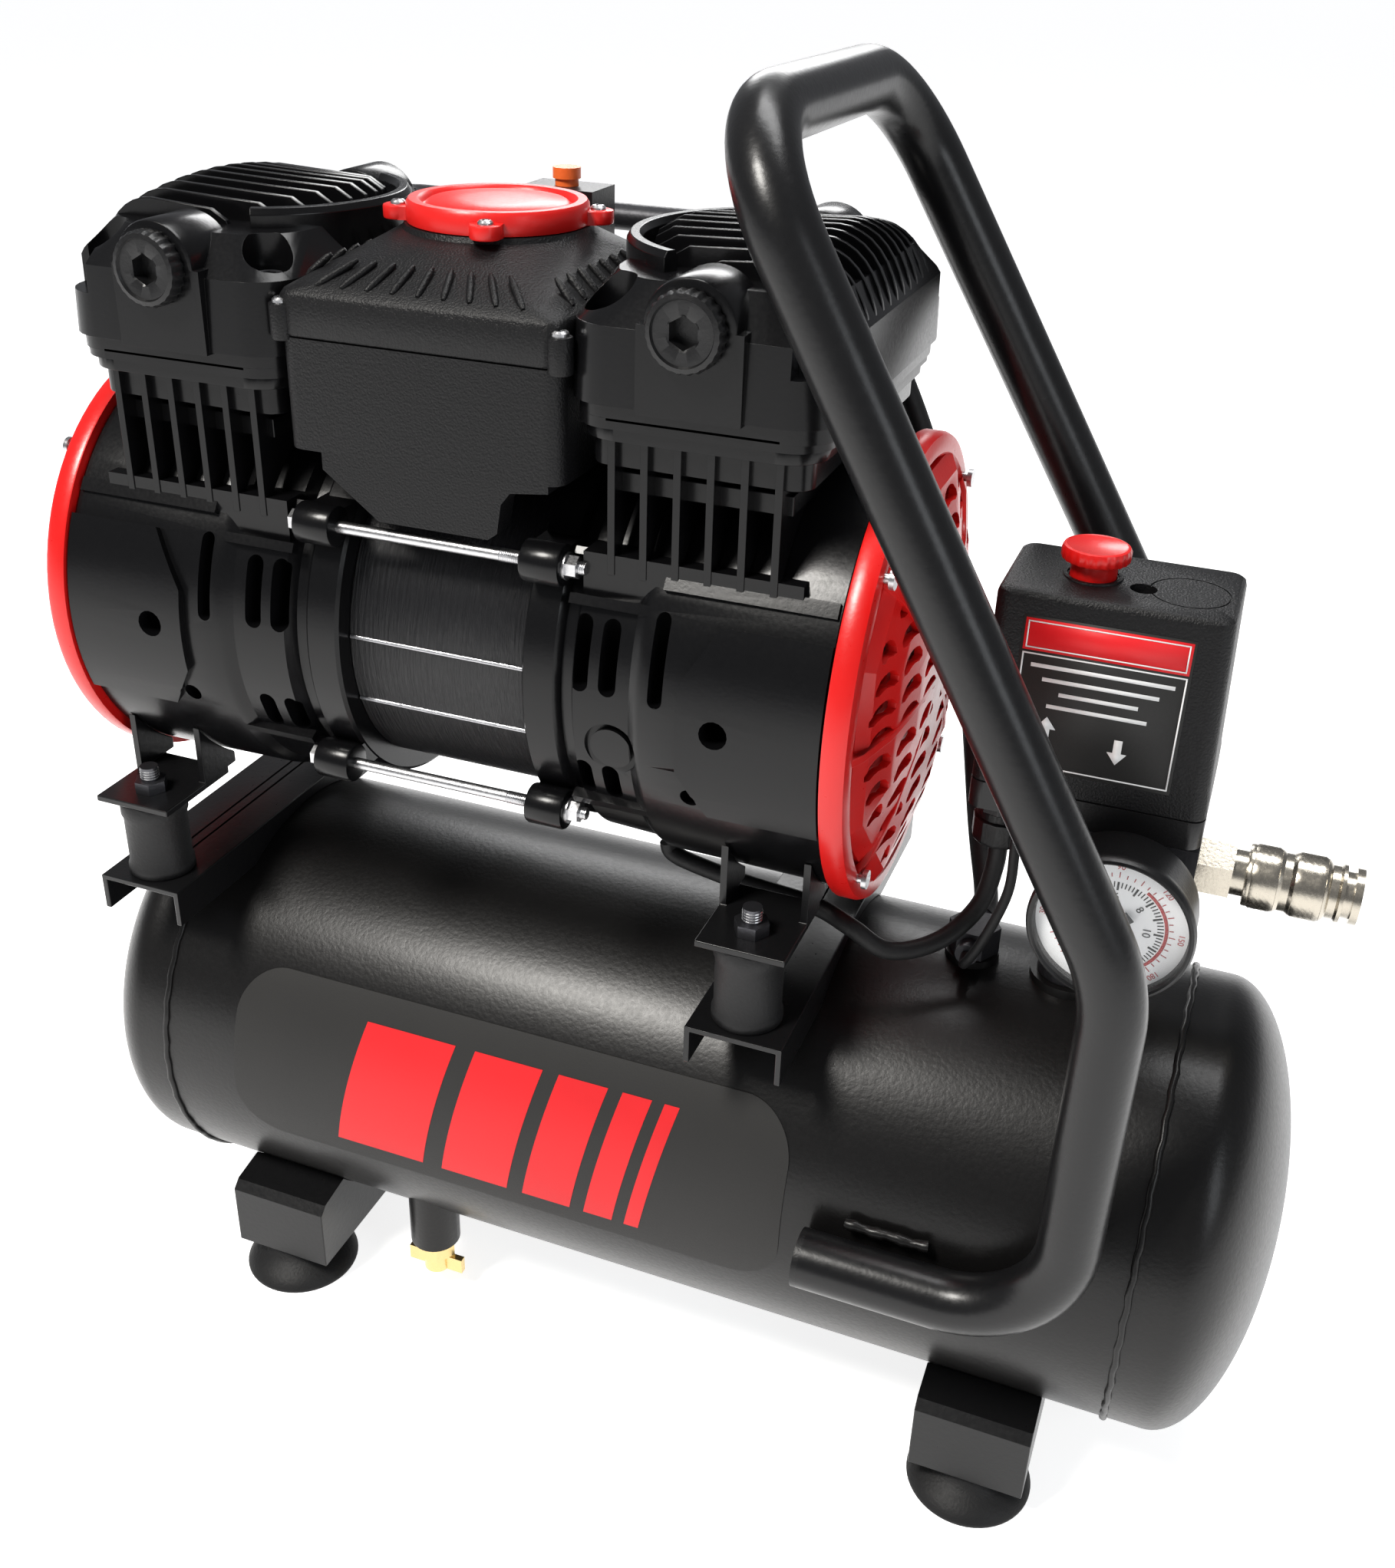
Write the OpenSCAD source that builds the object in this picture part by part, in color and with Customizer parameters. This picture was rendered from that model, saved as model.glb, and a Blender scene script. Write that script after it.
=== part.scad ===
// Twin-head oil-free air compressor on a horizontal tank.
// Millimetres, +Z up, +X along the tank towards the switch end, -Y is the front.
// Origin: centre of the footprint, on the floor under the feet.

/* [Tank] */
// Outer radius of the tank
tank_r = 103; // [102:0.5:103]
// Height of the tank axis above the floor
tank_z = 125; // [124.5:0.5:125.5]
// Distance from the middle to each end weld
seam_x = 232; // [228:1:232]
// Straight skirt of each end cap
skirt = 16; // [12:1:16]
// Depth of each domed end
dome = 40; // [34:1:40]
// Sheet thickness of the tank
tank_wall = 2.5; // [2:0.25:3]

/* [Handle] */
// Outer radius of the handle tube
tube_r = 12.5; // [12:0.25:12.5]
// Wall of the handle tube
tube_wall = 2; // [1.5:0.25:2.5]
// Half width of the handle at its foot, to the tube centre
handle_y = 115.6; // [115.6:0.1:116.5]
// Height of the handle foot tubes
handle_foot_z = 136; // [133:1:138]

/* [Pump] */
// X of the middle of the pump
pump_x = -83; // [-84:0.5:-82]
// Height of the crankshaft
pump_z = 359; // [358.5:0.5:359.5]
// Half length of the pump between the two fan covers
pump_half = 170; // [169:0.5:170]
// Outer radius of the crankcases
case_r = 94; // [93:0.5:94]
// Crank throw
throw = 5; // [4:0.5:5]

/* [Feet] */
// X distance of each foot from the middle
foot_x = 179; // [176:1:182]
// Y distance of each foot from the middle
foot_y = 83; // [80:1:84]
// Radius of the suction foot on the floor
foot_r = 28.5; // [26:0.5:29]

/* [Controls] */
// X of the middle of the pressure switch
switch_x = 177; // [176:0.5:178]
// Underside of the pressure switch
switch_z = 318; // [317.5:0.5:318.5]
// Radius of the gauge case
gauge_r = 32; // [30:0.5:32]

/* [Hidden] */

black = [0.07, 0.07, 0.08];
red = [0.86, 0.08, 0.07];
steel = [0.72, 0.72, 0.74];
brass = [0.80, 0.66, 0.34];
head_x = 110;            // cylinder axis from the middle of the pump
fin_step = 13;
rod_y = 78; rod_z = 54;  // tie rod positions about the shaft
stat_h = 42;             // half of the bare length of the stator
deck = 111;              // top of the cylinders above the shaft
head_h = 64;             // height of a head without its gasket face
mount_x = 145; mount_y = 90;
rail_z = tank_z + tank_r + 6;
hood = 8;                // depth of the fan cover rim
gx = 197; gz = 296; gy = -66;  // gauge face centre
cz = 296;                // coupler axis height
dx = -104; dy = -72;      // drain position
pipe_x = switch_x + 3;   // pipe from the tank to the switch
valve_x = 137;           // check valve socket

module zc(r, z0, z1, f = 48) translate([0, 0, z0]) cylinder(r = r, h = z1 - z0, $fn = f);
module xc(r, x0, x1, f = 64) translate([x0, 0, 0]) rotate([0, 90, 0]) cylinder(r = r, h = x1 - x0, $fn = f);
module yc(r, y0, y1, f = 48) translate([0, y0, 0]) rotate([-90, 0, 0]) cylinder(r = r, h = y1 - y0, $fn = f);
module hexz(af, z0, z1) translate([0, 0, z0]) cylinder(r = af / sqrt(3), h = z1 - z0, $fn = 6);
module hexx(af, x0, x1) translate([x0, 0, 0]) rotate([0, 90, 0]) cylinder(r = af / sqrt(3), h = x1 - x0, $fn = 6);
module bx(a, b) translate(a) cube(b - a);
module tank_cut(c = 0.1) translate([0, 0, tank_z]) xc(tank_r + c, -400, 400, 96);
module at_pump() translate([pump_x, 0, pump_z]) children();
module side(s) at_pump() if (s < 0) mirror([1, 0, 0]) children(); else children();
module both() { side(-1) children(); side(1) children(); }
module rrect(x, y, r) { w = x / 2 - r; h = y / 2 - r; union() { square([x, 2 * h], center = true); square([2 * w, y], center = true); for (i = [-1, 1], j = [-1, 1]) translate([i * w, j * h]) circle(r = r, $fn = 32); } }

// ---------- vector helpers for the bent tubes ----------
function unit(v) = v / norm(v);
function tang(R, u, v) = R * tan(acos(u * v) / 2);
module frame(X, Y, Z, O) multmatrix([[X[0], Y[0], Z[0], O[0]], [X[1], Y[1], Z[1], O[1]], [X[2], Y[2], Z[2], O[2]], [0, 0, 0, 1]]) children();
module run(P, Q, r) {
  d = unit(Q - P); a = abs(d[2]) < 0.9 ? [0, 0, 1] : [1, 0, 0];
  X = unit(cross(a, d)); Y = cross(d, X);
  frame(X, Y, d, P) cylinder(r = r, h = norm(Q - P), $fn = 48);
}
module elbow(B, u, v, R, r) {
  n = unit(v - (u * v) * u); P = B - u * tang(R, u, v); O = P + n * R;
  frame(-n, u, cross(-n, u), O) rotate_extrude(angle = acos(u * v), $fn = 64) translate([R, 0]) circle(r = r, $fn = 48);
}
// A tube through corner points pts with bend radii rad (one per inner corner)
module bent(pts, rad, r) {
  n = len(pts);
  d = [for (i = [0 : n - 2]) unit(pts[i + 1] - pts[i])];
  t = [for (i = [0 : n - 1]) (i == 0 || i == n - 1) ? 0 : tang(rad[i - 1], d[i - 1], d[i])];
  union() {
    for (i = [0 : n - 2]) run(pts[i] + d[i] * t[i], pts[i + 1] - d[i] * t[i + 1], r);
    for (i = [1 : n - 2]) elbow(pts[i], d[i - 1], d[i], rad[i - 1], r);
  }
}
// A many-sided sweep for slim hoses and cables
function ringpt(p, d, r, a) = let (k = abs(d[2]) < 0.95 ? [0, 0, 1] : [1, 0, 0], X = unit(cross(k, d)), Y = cross(d, X)) p + r * cos(a) * X + r * sin(a) * Y;
function cr(p0, p1, p2, p3, t) = 0.5 * ((2 * p1) + (p2 - p0) * t + (2 * p0 - 5 * p1 + 4 * p2 - p3) * t * t + (3 * p1 - p0 - 3 * p2 + p3) * t * t * t);
function smooth_pts(c, m) = let (n = len(c)) concat([for (i = [0 : n - 2], j = [0 : m - 1]) cr(c[max(i - 1, 0)], c[i], c[i + 1], c[min(i + 2, n - 1)], j / m)], [c[n - 1]]);
module sweep(c, r, m = 4, s = 10) {
  p = smooth_pts(c, m); n = len(p);
  d = [for (i = [0 : n - 1]) unit(p[min(i + 1, n - 1)] - p[max(i - 1, 0)])];
  v = [for (i = [0 : n - 1], j = [0 : s - 1]) ringpt(p[i], d[i], r, -j * 360 / s)];
  f = concat([[for (j = [0 : s - 1]) s - 1 - j]], [[for (j = [0 : s - 1]) (n - 1) * s + j]],
    [for (i = [0 : n - 2], j = [0 : s - 1]) [i * s + j, i * s + (j + 1) % s, (i + 1) * s + (j + 1) % s, (i + 1) * s + j]]);
  polyhedron(points = v, faces = f);
}

// ---------- tank ----------
module tank_shell() color(black) difference() {
  union() {
    translate([0, 0, tank_z]) xc(tank_r, -seam_x, seam_x, 96);
    translate([pipe_x, 0, tank_z]) zc(17, 90, tank_r + 3);
    translate([valve_x, 0, tank_z]) zc(12, 90, tank_r + 3);
    translate([dx, dy, 0]) zc(12.5, 32, 80);
  }
  translate([0, 0, tank_z]) xc(tank_r - tank_wall, -seam_x - 1, seam_x + 1, 96);
  translate([pipe_x, 0, tank_z]) zc(9.5, 60, 120);
  translate([valve_x, 0, tank_z]) zc(8, 60, 120);
  translate([dx, dy, 0]) zc(7, 20, 90);
}
function dome_pts(r, d, n = 14) = [for (i = [0 : n]) [r * cos(90 * i / n), d * sin(90 * i / n)]];
module cap_solid() rotate([0, 90, 0]) rotate_extrude($fn = 96) polygon(concat(
  [[tank_r - tank_wall - 0.1, -10], [tank_r - tank_wall - 0.1, 0.2], [tank_r, 0.2]],
  [for (p = dome_pts(tank_r, dome)) [p[0], p[1] + skirt]],
  [for (i = [14 : -1 : 0]) let (p = dome_pts(tank_r - tank_wall, dome - tank_wall)[i]) [p[0], p[1] + skirt]],
  [[tank_r - tank_wall, 4], [tank_r - 2 * tank_wall - 0.1, 2], [tank_r - 2 * tank_wall - 0.1, -10]]));
module tank_end_left() color(black) translate([-seam_x, 0, tank_z]) mirror([1, 0, 0]) cap_solid();
module tank_end_right() color(black) translate([seam_x, 0, tank_z]) cap_solid();
module weld_seams() color(black) {
  for (s = [-1, 1]) translate([s * (seam_x + 0.1), 0, tank_z]) rotate([0, 90, 0])
    rotate_extrude($fn = 96) polygon([[tank_r + 0.05, -3.2], [tank_r + 1.2, -2], [tank_r + 1.6, 0], [tank_r + 1.2, 2], [tank_r + 0.05, 3.2]]);
  handle_weld_plates();
}
module tank_decal() color([0.16, 0.16, 0.17]) intersection() {
  translate([0, 0, tank_z]) difference() { xc(tank_r + 0.45, -200, 110, 96); xc(tank_r + 0.05, -210, 120, 96); }
  translate([-53, 0, tank_z + 19]) rotate([90, 0, 0]) linear_extrude(120) rrect(278, 86, 24);
}

// ---------- handle ----------
lean_top = [44, 97, 579];
stub_x = 101; leg_x = 206; leg_z = 306;
hp = [[stub_x, -handle_y, handle_foot_z], [leg_x, -handle_y, handle_foot_z], [leg_x, -handle_y, leg_z],
  [lean_top[0], -lean_top[1], lean_top[2]], [lean_top[0], lean_top[1], lean_top[2]],
  [leg_x, handle_y, leg_z], [leg_x, handle_y, handle_foot_z], [stub_x, handle_y, handle_foot_z]];
hr = [48, 70, 46, 46, 70, 48];
// Each entry is [point, direction] along the centre line of the bent tube
function bend_pts(B, u, v, R, m = 7) = let (n = unit(v - (u * v) * u), A = acos(u * v), O = B - u * tang(R, u, v) + n * R)
  [for (i = [0 : m]) [O + R * (sin(A * i / m) * u - cos(A * i / m) * n), cos(A * i / m) * u + sin(A * i / m) * n]];
hd = [for (i = [0 : 6]) unit(hp[i + 1] - hp[i])];
path = concat([[hp[0], hd[0]]], [for (i = [1 : 6]) each bend_pts(hp[i], hd[i - 1], hd[i], hr[i - 1])], [[hp[7], hd[6]]]);
function hring(e, r, a) = let (X = unit(cross([-0.866, 0, 0.5], e[1])), Y = cross(e[1], X)) e[0] + r * cos(a) * X + r * sin(a) * Y;
module handle_tube() color(black) {
  n = len(path); s = 24; q = n * s;
  v = concat([for (i = [0 : n - 1], j = [0 : s - 1]) hring(path[i], tube_r, -j * 360 / s)], [for (i = [0 : n - 1], j = [0 : s - 1]) hring(path[i], tube_r - tube_wall, -j * 360 / s)]);
  f = concat(
    [for (i = [0 : n - 2], j = [0 : s - 1]) [i * s + j, i * s + (j + 1) % s, (i + 1) * s + (j + 1) % s, (i + 1) * s + j]],
    [for (i = [0 : n - 2], j = [0 : s - 1]) [q + (i + 1) * s + j, q + (i + 1) * s + (j + 1) % s, q + i * s + (j + 1) % s, q + i * s + j]],
    [for (j = [0 : s - 1]) [j, q + j, q + (j + 1) % s, (j + 1) % s]],
    [for (j = [0 : s - 1]) [(n - 1) * s + j, (n - 1) * s + (j + 1) % s, q + (n - 1) * s + (j + 1) % s, q + (n - 1) * s + j]]);
  polyhedron(points = v, faces = f);
}
module handle_end_plugs() color(black) for (s = [-1, 1]) translate([stub_x, s * handle_y, handle_foot_z]) {
  rotate([0, -90, 0]) cylinder(r = tube_r, h = 2.5, $fn = 48);
  rotate([0, 90, 0]) cylinder(r = tube_r - tube_wall - 0.1, h = 12, $fn = 48);
}
module weld_plate(s, z0, z1, x0, x1) difference() {
  bx([x0, s > 0 ? 90 : -113, z0], [x1, s > 0 ? 113 : -90, z1]);
  tank_cut(0.1);
  translate([0, s * handle_y, handle_foot_z]) xc(tube_r + 0.1, -10, 300, 48);
}
module handle_weld_plates() for (s = [-1, 1]) { weld_plate(s, 149, 154, 115, 150); weld_plate(s, 118, 123, 115, 150); }

// ---------- feet ----------
module foot_profile() polygon([[-70, 64], [-76, 57.5], [-96, 54], [-100, 50], [-100, 16], [-36, 16], [-36, 18.5], [-97.5, 18.5], [-97.5, 49], [-95, 51.5], [-75, 55], [-66, 62]]);
module side_profile() polygon([[-98, 16], [-36, 16], [-36, 80], [-66, 62], [-75, 56], [-95, 52.5], [-98, 50]]);
module foot_bracket() difference() {
  union() {
    translate([-26, 0, 0]) rotate([90, 0, 90]) linear_extrude(52) foot_profile();
    for (x = [-26, 23.5]) translate([x, 0, 0]) rotate([90, 0, 90]) linear_extrude(2.5) side_profile();
  }
  tank_cut(0.1);
  translate([0, -foot_y, 0]) zc(3.3, 0, 30);
}
module foot_brackets() color(black) difference() {
  union() for (i = [-1, 1]) { translate([i * foot_x, 0, 0]) foot_bracket(); translate([i * foot_x, 0, 0]) rotate([0, 0, 180]) foot_bracket(); }
  for (i = [-1, 1]) translate([0, 0, tank_z]) xc(tank_r + 1.8, i * seam_x - 4, i * seam_x + 4, 96);
}
module four_feet() for (i = [-1, 1], j = [-1, 1]) translate([i * foot_x, j * foot_y, 0]) children();
module rubber_feet() color(black) four_feet() difference() {
  rotate_extrude($fn = 48) polygon([[0, 0], [foot_r, 0], [foot_r, 1.5], [foot_r - 3, 5], [17, 10.5], [13.5, 15.9], [0, 15.9]]);
  zc(3.1, -1, 20); zc(7.5, -1, 7);
}
module foot_bolts() color(steel) four_feet() { hexz(10, 3, 6.9); zc(3, 6.8, 27, 24); hexz(10, 18.6, 23.6); }

// ---------- drain ----------
module drain_valve_body() color(brass) translate([dx, dy, 0]) difference() {
  union() { zc(6.9, 31, 48, 32); hexz(18, 22, 31.9); }
  zc(2.5, 10, 60, 32);
}
module drain_valve_wing() color(brass) translate([dx, dy, 0]) {
  zc(2.45, 21.9, 42, 32); zc(6.5, 12, 21.9, 32);
  difference() { translate([-15, -1.7, 12]) cube([30, 3.4, 8.5]); zc(5, 0, 30); }
}

// ---------- pump mounting ----------
module rail() difference() {
  union() {
    bx([-21, -108, rail_z - 2.5], [21, 108, rail_z]);
    for (s = [-1, 1]) bx([s > 0 ? 18.5 : -21, -108, rail_z - 18], [s > 0 ? 21 : -18.5, 108, rail_z - 2.5]);
  }
  tank_cut(0.1);
  for (s = [-1, 1]) translate([0, s * mount_y, 0]) zc(4.2, 0, 400, 32);
}
module pump_rails() color(black) for (s = [-1, 1]) translate([pump_x + s * mount_x, 0, 0]) rail();
module four_mounts() for (i = [-1, 1], j = [-1, 1]) translate([pump_x + i * mount_x, j * mount_y, rail_z]) children();
bob_h = 38;
module rubber_mounts() color(black) four_mounts() difference() {
  rotate_extrude($fn = 48) polygon([[0, 0.1], [15, 0.1], [15, 3], [14, 6], [14, bob_h - 6], [15, bob_h - 3], [15, bob_h - 0.1], [0, bob_h - 0.1]]);
  zc(4.1, -1, 50, 32);
}
module mount_studs() color(steel) four_mounts() { zc(4, -12, bob_h + 15, 32); hexz(13, -9, -2.6); hexz(13, bob_h + 3.1, bob_h + 8.5); }
foot_rel = rail_z + bob_h - pump_z;   // underside of the pump foot plates about the shaft
module foot_plate() difference() {
  union() {
    bx([mount_x - 19, -mount_y - 15, foot_rel], [mount_x + 19, -58, foot_rel + 3]);
    bx([mount_x - 19, -76, foot_rel + 3], [mount_x - 16, -52, foot_rel + 36]);
    bx([mount_x + 16, -76, foot_rel + 3], [mount_x + 19, -52, foot_rel + 36]);
  }
  translate([mount_x, -mount_y, 0]) zc(4.2, -200, 0, 32);
  xc(case_r + 0.2, 0, 200, 96);
}
module pump_foot_plates() color(black) both() { foot_plate(); mirror([0, 1, 0]) foot_plate(); }

// ---------- crankcase housings ----------
module lug(r, y, z) translate([stat_h, y, z]) xc(r, 0, 17, 32);
module housing() difference() {
  union() {
    difference() {
      union() {
        xc(case_r, 70, pump_half, 96);
        xc(84, stat_h, 71, 96);
        for (j = [-1, 1], k = [-1, 1]) {
          lug(8, j * rod_y, k * rod_z);
          bx([stat_h, j > 0 ? 56 : -rod_y, k > 0 ? rod_z - 6 : -rod_z - 6], [stat_h + 17, j > 0 ? rod_y : -56, k > 0 ? rod_z + 6 : -rod_z + 6]);
        }
        bx([head_x - 40, -40, 64], [head_x + 40, 40, case_r]);
      }
      xc(76.1, 0, 55, 96);
      xc(72, 54, 61, 96);
      xc(80, 65, 72, 96);
      xc(case_r - 4, 71, pump_half + 1, 96);
    }
    xc(21, 61, 76, 48);
  }
  xc(17.52, 64, 90, 48);
  xc(12, 50, 66, 48);
  translate([head_x, 0, 0]) zc(34.6, 40, 110, 64);
  for (j = [-1, 1], k = [-1, 1]) translate([0, j * rod_y, k * rod_z]) xc(2.6, 0, 90, 24);
  // cooling slots, front and back
  for (j = [-1, 1], a = [14, -14]) rotate([a, 0, 0]) { bx([76, j > 0 ? 70 : -99, -10], [82, j > 0 ? 99 : -70, 10]); bx([88, j > 0 ? 70 : -99, -10], [94, j > 0 ? 99 : -70, 10]); }
  for (j = [-1, 1]) bx([106, j > 0 ? 70 : -99, 8], [111, j > 0 ? 99 : -70, 34]);
  translate([132, 0, 2]) yc(6.5, -110, -70, 24);
}
module housing_left() color(black) side(-1) housing();
module housing_right() color(black) side(1) housing();

// ---------- motor ----------
module stator_core() color([0.1, 0.1, 0.11]) at_pump() difference() { xc(76, -54.5, 54.5, 96); xc(45, -55, 55, 96); }
module stator_windings() color([0.6, 0.3, 0.15]) both() translate([54.6, 0, 0]) rotate([0, 90, 0]) rotate_extrude($fn = 64) polygon([[46, 0], [69, 0], [68, 4], [62, 6], [50, 6], [47, 4]]);
module rotor_core() color(steel) at_pump() difference() { xc(44.4, -50, 50, 96); xc(7.5, -60, 60, 48); }
module motor_shaft() color(steel) at_pump() xc(7.45, -166, 166, 48);
module shaft_bearings() color(steel) both() difference() { xc(17.5, 64.3, 75, 48); xc(7.5, 50, 80, 48); }
module fan() {
  difference() { union() { xc(14, 152, 166, 48); xc(26, 152, 154, 48);
    for (a = [0 : 45 : 315]) rotate([a, 0, 0]) bx([152, -1.2, 12], [166, 1.2, 82]); } xc(7.45, 140, 180, 48); }
}
module cooling_fans() color(black) both() fan();
module ecc() difference() {
  union() { translate([0, 0, throw]) xc(14, head_x - 7, head_x + 7, 48); xc(15, head_x + 7, head_x + 13, 48);
    difference() { xc(30, head_x - 14, head_x - 7.4, 48); bx([0, -40, 4], [200, 40, 40]); } xc(12, head_x - 14, head_x - 7.1, 48); }
  xc(7.45, 0, 200, 48);
}
module eccentric_weights() color(steel) both() ecc();
module conrod() translate([head_x, 0, throw]) difference() {
  union() { xc(22, -6.8, 6.8, 48); bx([-5, -8, 18], [5, 8, 96]); zc(25.5, 95, 103, 64); zc(26, 103, 104.5, 64); }
  xc(14.05, -20, 20, 48);
}
module connecting_rod_left() color(steel) side(-1) conrod();
module connecting_rod_right() color(steel) side(1) conrod();

// ---------- cylinders and heads ----------
module cylinder_sleeves() color(steel) both() translate([head_x, 0, 0]) difference() { zc(34, 66, deck, 64); zc(31.8, 50, 120, 64); }
module cyl_block() difference() {
  union() {
    translate([head_x, 0, 0]) zc(42, case_r + 0.2, deck, 64);
    for (k = [-2.5 : 1 : 2.5]) bx([head_x + k * fin_step - 1.5, -78, 34], [head_x + k * fin_step + 1.5, 78, deck]);
    translate([head_x, 0, deck - 5]) linear_extrude(5) rrect(94, 160, 16);
  }
  translate([head_x, 0, 0]) zc(34.1, 50, 140, 64);
  xc(case_r + 0.3, 0, 200, 96);
  bx([head_x - 40.3, -40.3, 30], [head_x + 40.3, 40.3, case_r + 0.2]);
  bolt_at() zc(3.1, deck - 20, deck + 20, 24);
}
module bolt_at() for (i = [-1, 1], j = [-1, 1]) translate([head_x + i * 38, j * 66, 0]) children();
module cylinder_left() color(black) side(-1) cyl_block();
module cylinder_right() color(black) side(1) cyl_block();
module valve_plates() color([0.2, 0.2, 0.22]) both() difference() {
  translate([head_x, 0, deck]) linear_extrude(4) rrect(98, 164, 16);
  for (j = [-1, 1]) translate([head_x, j * 14, 0]) zc(5, deck - 1, deck + 5, 24);
  bolt_at() zc(3.1, deck - 1, deck + 5, 24);
}
module head() difference() {
  union() {
    translate([head_x, 0, deck + 4]) linear_extrude(head_h - 18) rrect(100, 166, 24);
    for (k = [-4 : 4]) translate([head_x - 44, k * 16 - 1.5, deck + 4 + head_h - 19]) cube([92, 3, 19]);
    translate([head_x, 0, deck + 40]) yc(19, -86, -70, 48);
    translate([head_x, 0, deck + 40]) yc(19, 70, 86, 48);
  }
  translate([head_x, 0, deck]) for (j = [-1, 1]) translate([0, j * 26, 3]) linear_extrude(26) rrect(64, 40, 8);
  bolt_at() { zc(3.2, deck, deck + 80, 24); zc(6, deck + 32, deck + 80, 32); }
  translate([head_x, 0, deck + 40]) yc(8, -100, -46, 32);
  translate([head_x, 0, deck + 40]) yc(6, 46, 100, 32);
  for (j = [-1, 1]) translate([head_x, j * 42, 0]) zc(5, deck + 22, deck + 42, 24);
}
module cylinder_head_left() color(black) side(-1) head();
module cylinder_head_right() color(black) side(1) head();
module head_bolts() color(steel) both() bolt_at() difference() { union() { zc(3, deck - 8, deck + 33, 24); zc(5, deck + 32.1, deck + 38, 32); } hexz(5, deck + 35, deck + 39); }
module head_port_plugs() color(black) both() translate([head_x, 0, deck + 40]) difference() {
  union() { yc(7.9, -90, -60, 32); yc(17, -94, -86.1, 48); }
  rotate([90, 0, 0]) hexz(9, 84, 95);
}
module crossover_tube() color([0.25, 0.25, 0.27]) at_pump() {
  bent([[-head_x, 62, deck + 40], [-head_x, 102, deck + 40], [head_x, 102, deck + 40], [head_x, 62, deck + 40]], [12, 12], 5.9);
}

// ---------- fan covers ----------
module fan_cover() difference() {
  translate([pump_half + 0.2, 0, 0]) rotate([0, 90, 0]) rotate_extrude($fn = 96) polygon([[98, 0], [98, hood], [90, hood + 3], [40, hood + 13], [0, hood + 14],
    [0, hood + 11.5], [40, hood + 10.5], [89, hood + 0.5], [94.5, hood - 2], [94.5, 0]]);
  for (k = [-4 : 4]) for (j = [-1, 1])
    let (w = sqrt(80 * 80 - k * k * 196)) bx([pump_half, j > 0 ? 24 : -w, k * 14 - 3.5], [pump_half + 40, j > 0 ? w : -24, k * 14 + 3.5]);
  for (a = [45 : 90 : 315]) rotate([a, 0, 0]) translate([0, 0, 91]) xc(2.1, 100, 200, 24);
}
module fan_cover_left() color(red) side(-1) fan_cover();
module fan_cover_right() color(red) side(1) fan_cover();
module fan_cover_screws() color(steel) both() for (a = [45 : 90 : 315]) rotate([a, 0, 0]) translate([0, 0, 91]) { xc(2, pump_half + 1, pump_half + hood + 5, 24); xc(4, pump_half + hood + 4.6, pump_half + hood + 6.6, 32); }

// ---------- tie rods ----------
module four_rods() at_pump() for (j = [-1, 1], k = [-1, 1]) translate([0, j * rod_y, k * rod_z]) children();
module tie_rods() color(steel) four_rods() { xc(2.5, -stat_h - 18, stat_h + 25.5, 32); hexx(8, -stat_h - 21.1, -stat_h - 17.1);
  xc(5.5, stat_h + 17.1, stat_h + 18.1, 32); hexx(8, stat_h + 18, stat_h + 22.5); }

// ---------- filter and capacitor box ----------
box_z0 = 445; box_z1 = 489; box_x = 59.5; box_y0 = -83; box_y1 = 40;
module filter_box_base() color(black) difference() {
  union() {
    translate([pump_x, 0, 0]) bx([-box_x, box_y0, box_z0], [box_x, box_y1, box_z1]);
    translate([pump_x + 8, box_y0, 0]) rotate([-90, 0, 0]) linear_extrude(12) polygon([[-44, -box_z0 - 1], [-24, -box_z0 + 25], [24, -box_z0 + 25], [28, -box_z0 + 10], [46, -box_z0 - 1]]);
  }
  translate([pump_x, 0, 0]) bx([-box_x + 2.5, box_y0 + 2.5, box_z0 + 2.5], [box_x - 2.5, box_y1 - 2.5, box_z1 + 1]);
}
module pyr(o) hull() {
  translate([pump_x, (box_y0 + box_y1) / 2, box_z1 + 0.1 - (o < 0 ? 1 : 0)]) linear_extrude(0.2) square([2 * box_x + 2 * o, box_y1 - box_y0 + 2 * o], center = true);
  translate([pump_x, (box_y0 + box_y1) / 2, box_z1 + 21]) linear_extrude(0.2) square([2 * box_x - 22 + 2 * o, box_y1 - box_y0 - 12 + 2 * o], center = true);
  translate([pump_x, -12, 523]) cylinder(r = 36 + o, h = 2 + (o < 0 ? 3 : 0), $fn = 32);
}
module filter_box_lid() color(black) difference() { pyr(0); pyr(-2.5); }
module filter_cap() color(red) translate([pump_x, -12, 0]) difference() {
  union() { zc(36, 525.1, 534, 64); for (a = [20 : 90 : 290]) rotate([0, 0, a]) { translate([38.5, 0, 0]) zc(6, 525.1, 530, 32); bx([30, -6, 525.1], [38.5, 6, 530]); } }
  zc(29.5, 532, 540, 64);
}
module run_capacitor() color([0.2, 0.2, 0.2]) translate([pump_x, -50, 468]) xc(17, -38, 38, 48);
module overload_protector() color(black) translate([pump_x, 0, 0]) difference() {
  bx([-17, box_y1 + 0.2, 470], [17, box_y1 + 24, 530]);
  translate([0, box_y1 + 12, 0]) zc(5.1, 518, 540, 32);
}
module reset_button() color([0.95, 0.35, 0.1]) translate([pump_x, box_y1 + 12, 0]) { zc(5, 522, 534, 32); zc(6, 533, 537.5, 32); }

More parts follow.
